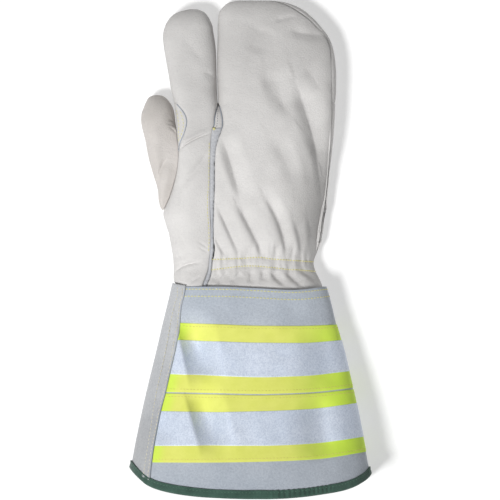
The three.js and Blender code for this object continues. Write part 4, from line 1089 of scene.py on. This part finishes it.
LEATHER = grain_leather("pearl_grain", srgb(219, 217, 215), srgb(208, 206, 204))
# a darker, warmer copy of the leather: the warm tint is the thumb's own, the darkness is painted shade for the thumb
# turned away from the light
LEATHER_THUMB_SHADED = grain_leather("pearl_grain_warm_shaded", srgb(213, 208, 204), srgb(198, 193, 188))
SUEDE = split_leather("grey_split", srgb(195, 202, 211), srgb(186, 194, 204))
SUEDE_PALM = split_leather("grey_split_plain", srgb(199, 201, 203), srgb(189, 191, 194), hem=0.8)
STRIP = split_leather("grey_strip", srgb(202, 203, 206), srgb(182, 184, 189))
CUT = split_leather("cut_edge", srgb(178, 186, 197), srgb(158, 167, 180))
YELLOW = bright_tape("yellow_weave", srgb(238, 241, 124), srgb(230, 235, 112), srgb(216, 250, 80), 1.1)
SILVER = reflective("silver_beads", srgb(228, 236, 249), srgb(220, 230, 245))
GREEN = woven("green_weave", srgb(68, 98, 86), srgb(52, 78, 68), 1.4, rough=0.9, depth=0.3)
THREAD_YELLOW = thread("yellow_thread", srgb(232, 226, 146), srgb(214, 206, 124))
THREAD_TAPE = thread("tape_thread_yellow", srgb(228, 222, 128), srgb(208, 196, 104))
THREAD_PALE = thread("pale_thread", srgb(222, 216, 190), srgb(204, 198, 172))
THREAD_GREEN = thread("green_thread", srgb(78, 112, 95), srgb(66, 96, 82))
THREAD_GREY = thread("grey_thread", srgb(150, 152, 156), srgb(126, 128, 134))


# ---------------------------------------------------------------------------
# stitches
# ---------------------------------------------------------------------------
def stitches(name, paths, material, pitch=3.3, length=2.5, width=0.42, height=0.36):
    """Short threads along paths; each path is (points, normals) in mm."""
    verts, faces = [], []
    ks = np.array([-1.0, -0.72, 0.0, 0.72, 1.0])
    ring = np.linspace(0, TAU, 6, endpoint=False)
    base = 0
    for pts, nrm in paths:
        seg = np.linalg.norm(np.diff(pts, axis=0), axis=1)
        s = np.concatenate([[0], np.cumsum(seg)])
        n = int((s[-1] - length) // pitch) + 1
        if n < 1:
            continue
        c = np.linspace(length / 2, s[-1] - length / 2, n)
        slant = np.random.RandomState(n + 3).uniform(-0.12, 0.12, n)
        at_s = lambda q: np.stack([np.interp(q, s, pts[:, k]) for k in range(3)], 1)
        p0, p1, mid = at_s(c - length / 2), at_s(c + length / 2), at_s(c)
        t = p1 - p0
        t /= np.maximum(np.linalg.norm(t, axis=1), 1e-9)[:, None]
        m = np.stack([np.interp(c, s, nrm[:, k]) for k in range(3)], 1)
        m = m - np.einsum("ij,ij->i", m, t)[:, None] * t
        m /= np.maximum(np.linalg.norm(m, axis=1), 1e-9)[:, None]
        b = np.cross(t, m)
        t = t + b * slant[:, None]
        for q in range(n):
            for kk in ks:
                r = math.sqrt(max(0.0, 1 - abs(kk) ** 3)) * 0.86 + 0.14
                centre = mid[q] + t[q] * (kk * length / 2) + m[q] * (height * (0.35 - 0.75 * abs(kk) ** 2))
                for g in ring:
                    verts.append(centre + b[q] * (math.cos(g) * width * r) + m[q] * (math.sin(g) * height * r))
            for a in range(len(ks) - 1):
                for g in range(6):
                    faces.append((base + a * 6 + g, base + a * 6 + (g + 1) % 6, base + (a + 1) * 6 + (g + 1) % 6, base + (a + 1) * 6 + g))
            base += len(ks) * 6
    ob = new_object(name, verts, faces, None, material)
    return ob


def bead(name, paths, material, width=0.45, height=0.4):
    """A thin rounded edge along each path."""
    verts, faces = [], []
    ring = np.linspace(0, TAU, 8, endpoint=False)
    base = 0
    for pts, nrm in paths:
        t = np.gradient(pts, axis=0)
        b = np.cross(t, nrm)
        b /= np.maximum(np.linalg.norm(b, axis=1), 1e-9)[:, None]
        n = len(pts)
        thin = np.minimum(1, np.minimum(np.arange(n), np.arange(n)[::-1]) / 6 + 0.25)
        rough = 1 + 0.25 * noise(pts[:, 0], pts[:, 1], pts[:, 2], 1.7, 3.3)
        for g in ring:
            verts.append(pts + b * (math.cos(g) * width * thin * rough)[:, None] + nrm * (math.sin(g) * height * thin * rough)[:, None])
        for g in range(8):
            a, c = base + g * n, base + (g + 1) % 8 * n
            faces += [(a + i, a + i + 1, c + i + 1, c + i) for i in range(n - 1)]
        for end in (0, n - 1):
            faces += [tuple(base + g * n + end for g in q) for q in ((0, 1, 2, 3), (0, 3, 4, 7), (4, 5, 6, 7))]
        base += 8 * n
    ob = new_object(name, np.concatenate(verts), faces, None, material)
    return ob


def laid(point, x, y, lift=0.0, h=0.4):
    """Points and normals on a surface given as point(x, y)."""
    p = grid3(point(x, y))
    a = grid3(point(x + h, y)) - grid3(point(x - h, y))
    b = grid3(point(x, y + h)) - grid3(point(x, y - h))
    n = np.cross(a, b)
    n = n / np.maximum(np.linalg.norm(n, axis=-1), 1e-9)[..., None]
    n = np.where(n[..., 2:3] < 0, -n, n)
    return p + n * lift, n


def dense(points, step=0.35):
    pts = np.array(points, float)
    s = np.concatenate([[0], np.cumsum(np.linalg.norm(np.diff(pts, axis=0), axis=1))])
    q = np.linspace(0, s[-1], max(2, int(s[-1] / step)))
    cx, cy = Curve(s, pts[:, 0]), Curve(s, pts[:, 1])
    return cx(q), cy(q)


def on_back(x, y):
    s = pocket_section(y)
    end = upper_angle(s, np.minimum(s["xr"], at(DORSAL, y, "x")) - HALF_GAP)
    return back_point(np.clip(upper_angle(s, x) / np.maximum(end, 1.77), 0, 1), y)


def on_index(x, y):
    s = index_section(y)
    start = np.where((y < CRESCENT_TOP) & (y > CRESCENT_END), upper_angle(s, at(CRESCENT, y, "x") + HALF_GAP), 0)
    return index_point(np.clip((upper_angle(s, x) - start) / (math.pi - start), 0, 1), y)


def on_crescent(x, y):
    s = index_section(np.minimum(y, CROTCH_Y))
    end = upper_angle(s, at(CRESCENT, y, "x") - HALF_GAP)
    return crescent_point(np.clip(upper_angle(s, x) / end, 0, 1), y)


def on_cuff(x, y):
    s = cuff_section(y)
    return cuff_point(upper_angle(s, x), y)


def traced(point, points, lift=0.1):
    x, y = dense(px(points))
    return laid(point, x, y, lift)


def along(edge, lift, first, n=700, u0=0.0, u1=1.0):
    """Points and normals along a line of the gauntlet's back panel."""
    u = np.linspace(u0, u1, n)
    p = grid3(back_panel_point(u, edge, first))
    q = grid3(back_panel_point(u, lambda a, s: edge(a, s) - 0.8, first))
    t = np.gradient(p, axis=0)
    m = np.cross(t, q - p)
    m /= np.maximum(np.linalg.norm(m, axis=1), 1e-9)[:, None]
    away = p - np.array([0, 0, 35.0]) * [1, 0, 1] - np.stack([0 * p[:, 0], p[:, 1], 0 * p[:, 0]], 1)
    m = np.where(np.einsum("ij,ij->i", m, away)[:, None] < 0, -m, m)
    return p + m * lift, m


# ---------------------------------------------------------------------------
# the hand
# ---------------------------------------------------------------------------
def centre_at(x, z):
    return lambda p: np.stack([np.full(p.shape[:2], float(x)), p[..., 1], np.full(p.shape[:2], float(z))], -1)


def below(z=0.0, dx=0.0):
    return lambda p: np.stack([p[..., 0] + dx, p[..., 1], np.full(p.shape[:2], float(z))], -1)


y = tip_rows(POCKET_TIP_Y, HAND_END_Y, 26, 1.0)
free = smooth(CROTCH_Y - 2, CROTCH_Y + 3, y)
pulled = smooth(7, 3, y) * smooth(-10, -5, y)
shell("back_leather", grid3(back_point(cols(140), y)), LEATHER, WALL, centre_at(20, 18),
      edges=((0.5, 1.2), (0, 1), (0.15 + 0.55 * free + 1.3 * pulled, 1.1 + 0.5 * pulled), (1.0, 1.4)), node="mitt_back")
y = tip_rows(INDEX_TIP_Y, HAND_END_Y, 24, 0.9)
free = smooth(CROTCH_Y - 2, CROTCH_Y + 3, y)
patch = smooth(CRESCENT_TOP + 1, CRESCENT_TOP - 1, y) * smooth(CRESCENT_END - 6, CRESCENT_END, y)
shell("index_leather", grid3(index_point(cols(84), y)), LEATHER, WALL, below(10),
      edges=((0.5, 1.2), (0, 1), (0.1 + 0.5 * free + 0.25 * patch, 1.0), (0.12 + 0.5 * free, 1.0)), node="index_back")
y = rows(CRESCENT_TOP - 0.05, CRESCENT_END + 0.4, 0.8)
shell("thumb_crotch_leather", grid3(crescent_point(cols(24), y)), LEATHER, 1.2, below(0),
      edges=((0.3, 1), (0.2, 1), (0.1, 1.0), (0.35, 0.8)), node="thumb_crotch_patch")
y = rows(CROTCH_Y - 1.2, PATCH_END_Y + 0.3, 0.5)
shell("finger_crotch_leather", grid3(strip_point(cols(16), y)), LEATHER, 1.2, below(0),
      edges=((0, 1), (0.3, 1), (0.3, 0.7), (0.3, 0.7)), node="finger_crotch_patch")
y = rows(PATCH_END_Y - HALF_GAP, HAND_END_Y, 0.5)
p = grid3(strip_point(cols(14), y))
t = 2 * cols(14) - 1
fray = noise(p[..., 0] * 0.2, p[..., 1], 0, 2.1) * smooth(0.2, 1, t)
p[..., 0] += 0.25 * t + 0.5 * fray
p[..., 2] += 0.75 - 0.45 * t ** 4 + (0.25 + 0.3 * np.abs(t)) * noise(p[..., 0], p[..., 1], 0, 1.4, 2.0)
shell("seam_suede", p, STRIP, 1.4, below(0), node="seam_strip")

y = tip_rows(POCKET_TIP_Y, CROTCH_Y + 0.1, 22, 1.6)
shell("pocket_front_leather", grid3(under_point(pocket_section, cols(120), y, True)), LEATHER, WALL, centre_at(20, 20),
      edges=((0.4, 1.2), (0.5, 1.2), (0.8, 1.3), (0.6, 1.3)), node="pocket_front")
y = tip_rows(INDEX_TIP_Y, CROTCH_Y + 0.1, 22, 1.6)
shell("index_front_leather", grid3(under_point(index_section, cols(64), y, False)), LEATHER, WALL, centre_at(-54, 20),
      edges=((0.4, 1.2), (0.5, 1.2), (0.6, 1.3), (0.6, 1.3)), node="index_front")
y = rows(CROTCH_Y - 0.3, HAND_END_Y, 1.5)
shell("palm_leather", grid3(under_point(hand_section, cols(132), y, True)), LEATHER, WALL, centre_at(10, 20),
      edges=((0.5, 1.2), (0, 1), (0.8, 1.3), (0.5, 1.3)), node="palm")
y = np.concatenate([tip_rows(THUMB_TIP_Y, THUMB_OPEN_TOP, 24, 1.0, THUMB_TIP_RADIUS)[:-1], rows(THUMB_OPEN_TOP, THUMB_END_Y + 0.4, 0.9)])
shell("thumb_leather", grid3(thumb_point(cols(120), y)), LEATHER_THUMB_SHADED, WALL, centre_at(-74, 17),
      edges=((0.3, 1.2), (0.4, 1.2), (0, 1), (0.5, 1.3)), node="thumb")

# ---------------------------------------------------------------------------
# the gauntlet
# ---------------------------------------------------------------------------
round_cuff = centre_at(0, 32)


def panel(e, f, n_rows, n_cols, gap=HALF_GAP):
    u = cols(n_cols) + np.zeros((n_rows + 1, 1))
    v = np.linspace(0, 1, n_rows + 1)[:, None] + 0 * u
    return grid3(back_panel_point(u, lambda a, s: mix(e(a, s), f(a, s), v), gap=gap))


shell("gauntlet_back_suede", panel(line("top_edge"), lower_edge, 150, 200), SUEDE, CUFF_WALL, round_cuff,
      edges=((0.25, 1.0), (0, 1), (0, 1), (0.6, 1.4)), rim=0.25, node="gauntlet_back")

u = cols(170) + np.zeros((121, 1))
v = np.linspace(0, 1, 121)[:, None] + 0 * u


def lap_lift(p, du, dv):
    d = at(LAP, p[..., 1], "x") - p[..., 0]
    over = (np.linspace(0, 1, p.shape[1])[None, :] > 0.6) * smooth(15, 5, d) * smooth(-212, -204, p[..., 1])
    row = np.exp(-(((d - 3.2) / 0.9) ** 2)) + np.exp(-(((d - 8.4) / 0.9) ** 2))
    return (1.35 - 0.4 * row) * over + 0.25 * over * noise(p[..., 0] * 0.3, p[..., 1], 0, 3.4, 8.1)


shell("gauntlet_palm_suede", grid3(palm_panel_point(u, v)), SUEDE_PALM, CUFF_WALL, round_cuff, lift=lap_lift,
      edges=((0.25, 1.0), (0, 1), (0.6, 1.4), (0, 1)), rim=0.25, node="gauntlet_palm")

TAPES = (("upper", "upper_start", "upper_silver_start", "upper_silver_end", "upper_end"), ("lower", "lower_start", "lower_silver_start", "lower_silver_end", "lower_end"))
for name, a, b, c, d in TAPES:
    tape = shell("tape_" + name + "_weave", panel(line(a), line(d), 56, 210, gap=0.25), YELLOW, 0.5, round_cuff,
                 edges=((0.15, 0.7), (0.15, 0.7), (0, 1), (0.3, 1)), lift=lambda p, du, dv: 0.62 + 0 * du, node="tape_" + name)
    silver = shell("reflective_" + name + "_beads", panel(line(b), line(c), 36, 210, gap=0.3), SILVER, 0.25, round_cuff,
                   edges=((0.05, 0.5), (0.05, 0.5), (0, 1), (0.3, 1)), lift=lambda p, du, dv: 0.9 + 0 * du, node="reflective_" + name)

# the binding, a folded strip round the mouth
n = 640
profile = [(1.15, BIND_HEIGHT), (1.5, BIND_HEIGHT - 0.25), (1.55, BIND_HEIGHT - 1.0), (0.95, BIND_HEIGHT - 2.2), (1.35, BIND_HEIGHT - 3.6), (1.5, 1.6), (1.15, 0.5), (0.2, 0.0), (-0.9, -0.1),
           (-2.0, 0.0), (-2.9, 0.5), (-3.25, 1.6), (-3.2, BIND_HEIGHT - 3.6), (-2.9, BIND_HEIGHT - 2.2), (-3.25, BIND_HEIGHT - 1.0), (-3.1, BIND_HEIGHT), (-2.1, BIND_HEIGHT), (-2.0, 1.2), (0.2, 1.2), (0.25, BIND_HEIGHT)]
a = np.linspace(0, TAU, n, endpoint=False)[:, None] + np.zeros((1, len(profile)))
off, up = (np.array([q[k] for q in profile])[None, :] + 0 * a for k in (0, 1))
yy = hem_y(a) + up
yy = yy + 0.35 * noise(np.cos(a) * 60, np.sin(a) * 60, 0, 11) * smooth(1.2, 4, up)
base = grid3(cuff_point(a, yy))
t = grid3(cuff_point(a + 1e-3, yy)) - grid3(cuff_point(a - 1e-3, yy))
w = grid3(cuff_point(a, yy + 0.3)) - grid3(cuff_point(a, yy - 0.3))
m = np.cross(t, w)
m /= np.linalg.norm(m, axis=2)[..., None]
m = np.where(np.einsum("ijk,ijk->ij", m, base - round_cuff(base))[..., None] < 0, -m, m)
drawn = smooth(0.34, 0.2, np.abs(a - 2.0))
pucker = 0.3 * noise(np.cos(a) * 100, np.sin(a) * 100, 0, 3.6, 6.0) * smooth(0.2, 2, up)
pucker = pucker + drawn * (0.55 * np.sin(a * 100 * TAU / 4.3 + 2.2 * noise(a * 40, 0, 0, 9, 1.0)) + 0.3 * noise(a * 100, up * 0.3, 0, 2.6, 4.0)) * smooth(-0.5, 1.5, up)
p = base + m * (off + pucker * np.sign(off + 1))[..., None]
p[..., 2] = np.maximum(p[..., 2], 0.0)
idx = np.arange(n * len(profile)).reshape(n, -1)
nxt, rgt = np.roll(idx, -1, axis=0), np.roll(idx, -1, axis=1)
faces = np.stack([idx, rgt, np.roll(rgt, -1, axis=0), nxt], -1).reshape(-1, 4)
run = np.cumsum(np.linalg.norm(np.diff(p[:, 5], axis=0, prepend=p[:1, 5]), axis=1))
wid = np.cumsum(np.concatenate([[0], np.hypot(np.diff([q[0] for q in profile]), np.diff([q[1] for q in profile]))]))
uv = np.stack([run[:, None] + 0 * wid[None, :], wid[None, :] + 0 * run[:, None]], -1)
hem = new_object("hem_green_weave", p, faces, uv, GREEN)
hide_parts("hem_binding")

# ---------------------------------------------------------------------------
# thread
# ---------------------------------------------------------------------------
def shift(name, by):
    return lambda a, s: LINES[name](s) + by


tape_rows = [along(shift(k, by), 0.66, first) for k, by, first in (("upper_start", -2.6, -70), ("upper_end", 2.6, -126), ("lower_start", -2.6, -133), ("lower_end", 2.6, -189))]
stitches("tape_thread", tape_rows, THREAD_TAPE, pitch=3.1, length=2.3, width=0.27, height=0.22)
cuff_rows = [along(shift("top_edge", by), 0.08, -38) for by in (-2.0, -8.4)]
stitches("cuff_thread", cuff_rows, THREAD_YELLOW, pitch=3.1, length=2.3, width=0.4, height=0.32)
lap_rows = [traced(on_cuff, pts, 1.3) for pts in (
    [(178.3, 287.5), (178.4, 294.6), (176, 303), (172.2, 320), (168.1, 343), (163.9, 364), (157.3, 393), (151.5, 430), (147.4, 456), (144.8, 473.5)],
    [(183, 288.6), (183, 295.2), (181.2, 301), (179.4, 313), (175.6, 337), (169.8, 370), (161.5, 404), (155.2, 434), (151.4, 456), (149, 475.5)])]
stitches("lap_thread", lap_rows, THREAD_PALE, pitch=3.3, length=2.4, width=0.36, height=0.28)
stitches("wrist_thread", [traced(on_back, row, 0.25) for row in WRIST_ROWS], THREAD_YELLOW, pitch=2.5, length=1.75, width=0.42, height=0.4)
hand_rows = [traced(on_index, [(209.4, 143), (209.1, 160), (209, 180), (207.6, 200), (207.6, 210), (208.7, 225), (209.2, 240), (208.6, 251)], 0.05)]
hand_rows += [traced(on_crescent, pts, 0.0) for pts in (
    [(176.3, 110.1), (178.1, 118.7), (178.9, 126.7), (178.3, 134.8), (178.6, 141)], [(180.4, 111.8), (182.6, 118.7), (183.5, 124.4), (182.1, 132.5), (180, 139)])]
stitches("hand_thread", hand_rows, THREAD_YELLOW, pitch=3.1, length=2.2, width=0.28, height=0.24)


def on_strip(x, y):
    return strip_point(np.clip((x - at(SEAM, y, "left")) / (at(SEAM, y, "right") - at(SEAM, y, "left")), 0, 1), y)


stitches("crotch_thread", [traced(on_strip, [(217.9, 109.5), (217.7, 116), (217.3, 122), (216.6, 127)], 0.05)], THREAD_GREY, pitch=2.3, length=1.5, width=0.3, height=0.24)
stitches("crotch_knot", [traced(on_strip, pts, 0.9) for pts in ([(212.9, 129.4), (216, 127.7)], [(213.4, 130.6), (216.2, 129)])], THREAD_YELLOW, pitch=5, length=2.6, width=0.5, height=0.45)
n = 620
a = np.linspace(0, TAU, n)
row = grid3(cuff_point(a, hem_y(a) + BIND_HEIGHT - 2.2))
way = grid3(cuff_point(a + 1e-3, hem_y(a + 1e-3) + BIND_HEIGHT - 2.2)) - row
out = np.cross(way, grid3(cuff_point(a, hem_y(a) + BIND_HEIGHT - 1.8)) - row)
out /= np.linalg.norm(out, axis=1)[:, None]
out = np.where(np.einsum("ij,ij->i", out, row - np.array([0, 0, 35.0]) * [1, 0, 1] - row * [0, 1, 0])[:, None] < 0, -out, out)
stitches("hem_thread", [(row + out * 1.1, out)], THREAD_GREEN, pitch=3.2, length=2.0, width=0.42, height=0.3)

# raw cut edges that show along the seams
cuts = [traced(on_crescent, [(176.4, 104), (178.6, 106.4), (183.1, 111.8), (185.9, 117.6), (186.6, 122.1), (185.4, 129), (182.6, 137), (180.6, 141.7), (179.4, 146.3), (179.0, 151.5)], 0.1)]
cuts += [traced(on_strip, pts, 0.25) for pts in ([(217.3, 105), (216.5, 109), (215.5, 113.5), (214.7, 118.5), (214.3, 124), (213.4, 128)], [(219.2, 105), (220.4, 109), (221.3, 113.5), (222.1, 118.5), (222.4, 124), (221.6, 129.5)])]
bead("leather_cut_edges", cuts, CUT, width=0.36, height=0.3)
lap_edge = [(x - 0.25, y) for x, y in ((186.2, 288.2), (185.2, 293), (184, 298), (181.9, 306), (180, 323), (177.9, 339), (170.3, 374), (166.2, 392), (161.6, 410), (154.6, 446), (152.4, 462), (151, 475))]
bead("suede_cut_edges", [traced(on_cuff, lap_edge, 0.95), along(shift("top_edge", 0.1), -0.35, -38)], CUT, width=0.34, height=0.45)

# ---------------------------------------------------------------------------
# floor, light and camera
# ---------------------------------------------------------------------------
me = bpy.data.meshes.new("floor")
me.from_pydata([(-3, -3, -0.0004), (3, -3, -0.0004), (3, 3, -0.0004), (-3, 3, -0.0004)], [], [(0, 1, 2, 3)])
floor = bpy.data.objects.new("floor", me)
bpy.context.scene.collection.objects.link(floor)
k = Look("pale_floor", 0.9, specular=0.1)
k.b.inputs["Base Color"].default_value = (0.62, 0.62, 0.62, 1)
k.b.inputs["Emission Color"].default_value = (1, 1, 1, 1)
k.b.inputs["Emission Strength"].default_value = 0.44
me.materials.append(k.m)

world = bpy.data.worlds.new("soft")
bpy.context.scene.world = world
world.use_nodes = True
world.node_tree.nodes["Background"].inputs["Color"].default_value = (1, 1, 1, 1)
world.node_tree.nodes["Background"].inputs["Strength"].default_value = 0.19


def lamp(name, place, size, power, target=(0, 0, 0.03)):
    d = bpy.data.lights.new(name, "AREA")
    d.shape, d.size, d.energy = "DISK", size, power
    o = bpy.data.objects.new(name, d)
    bpy.context.scene.collection.objects.link(o)
    v = Vector(target) - Vector(place)
    o.location = place
    o.rotation_euler = v.to_track_quat("-Z", "Y").to_euler()


lamp("key", (-2.5, -1.9, 5.4), 1.5, 352)
lamp("fill", (0.5, 0.3, 2.6), 1.4, 5)

cam = bpy.data.cameras.new("camera")
cam.sensor_width = 36
distance = 14.0
cam.lens = 36 * (distance - 0.025) / 0.4518
cam.clip_end = 40
ob = bpy.data.objects.new("camera", cam)
ob.location = (-0.0002, -0.0004, distance)
ob.rotation_euler = (0, 0, 0)
bpy.context.scene.collection.objects.link(ob)
bpy.context.scene.camera = ob
bpy.context.scene.view_settings.view_transform = "Standard"
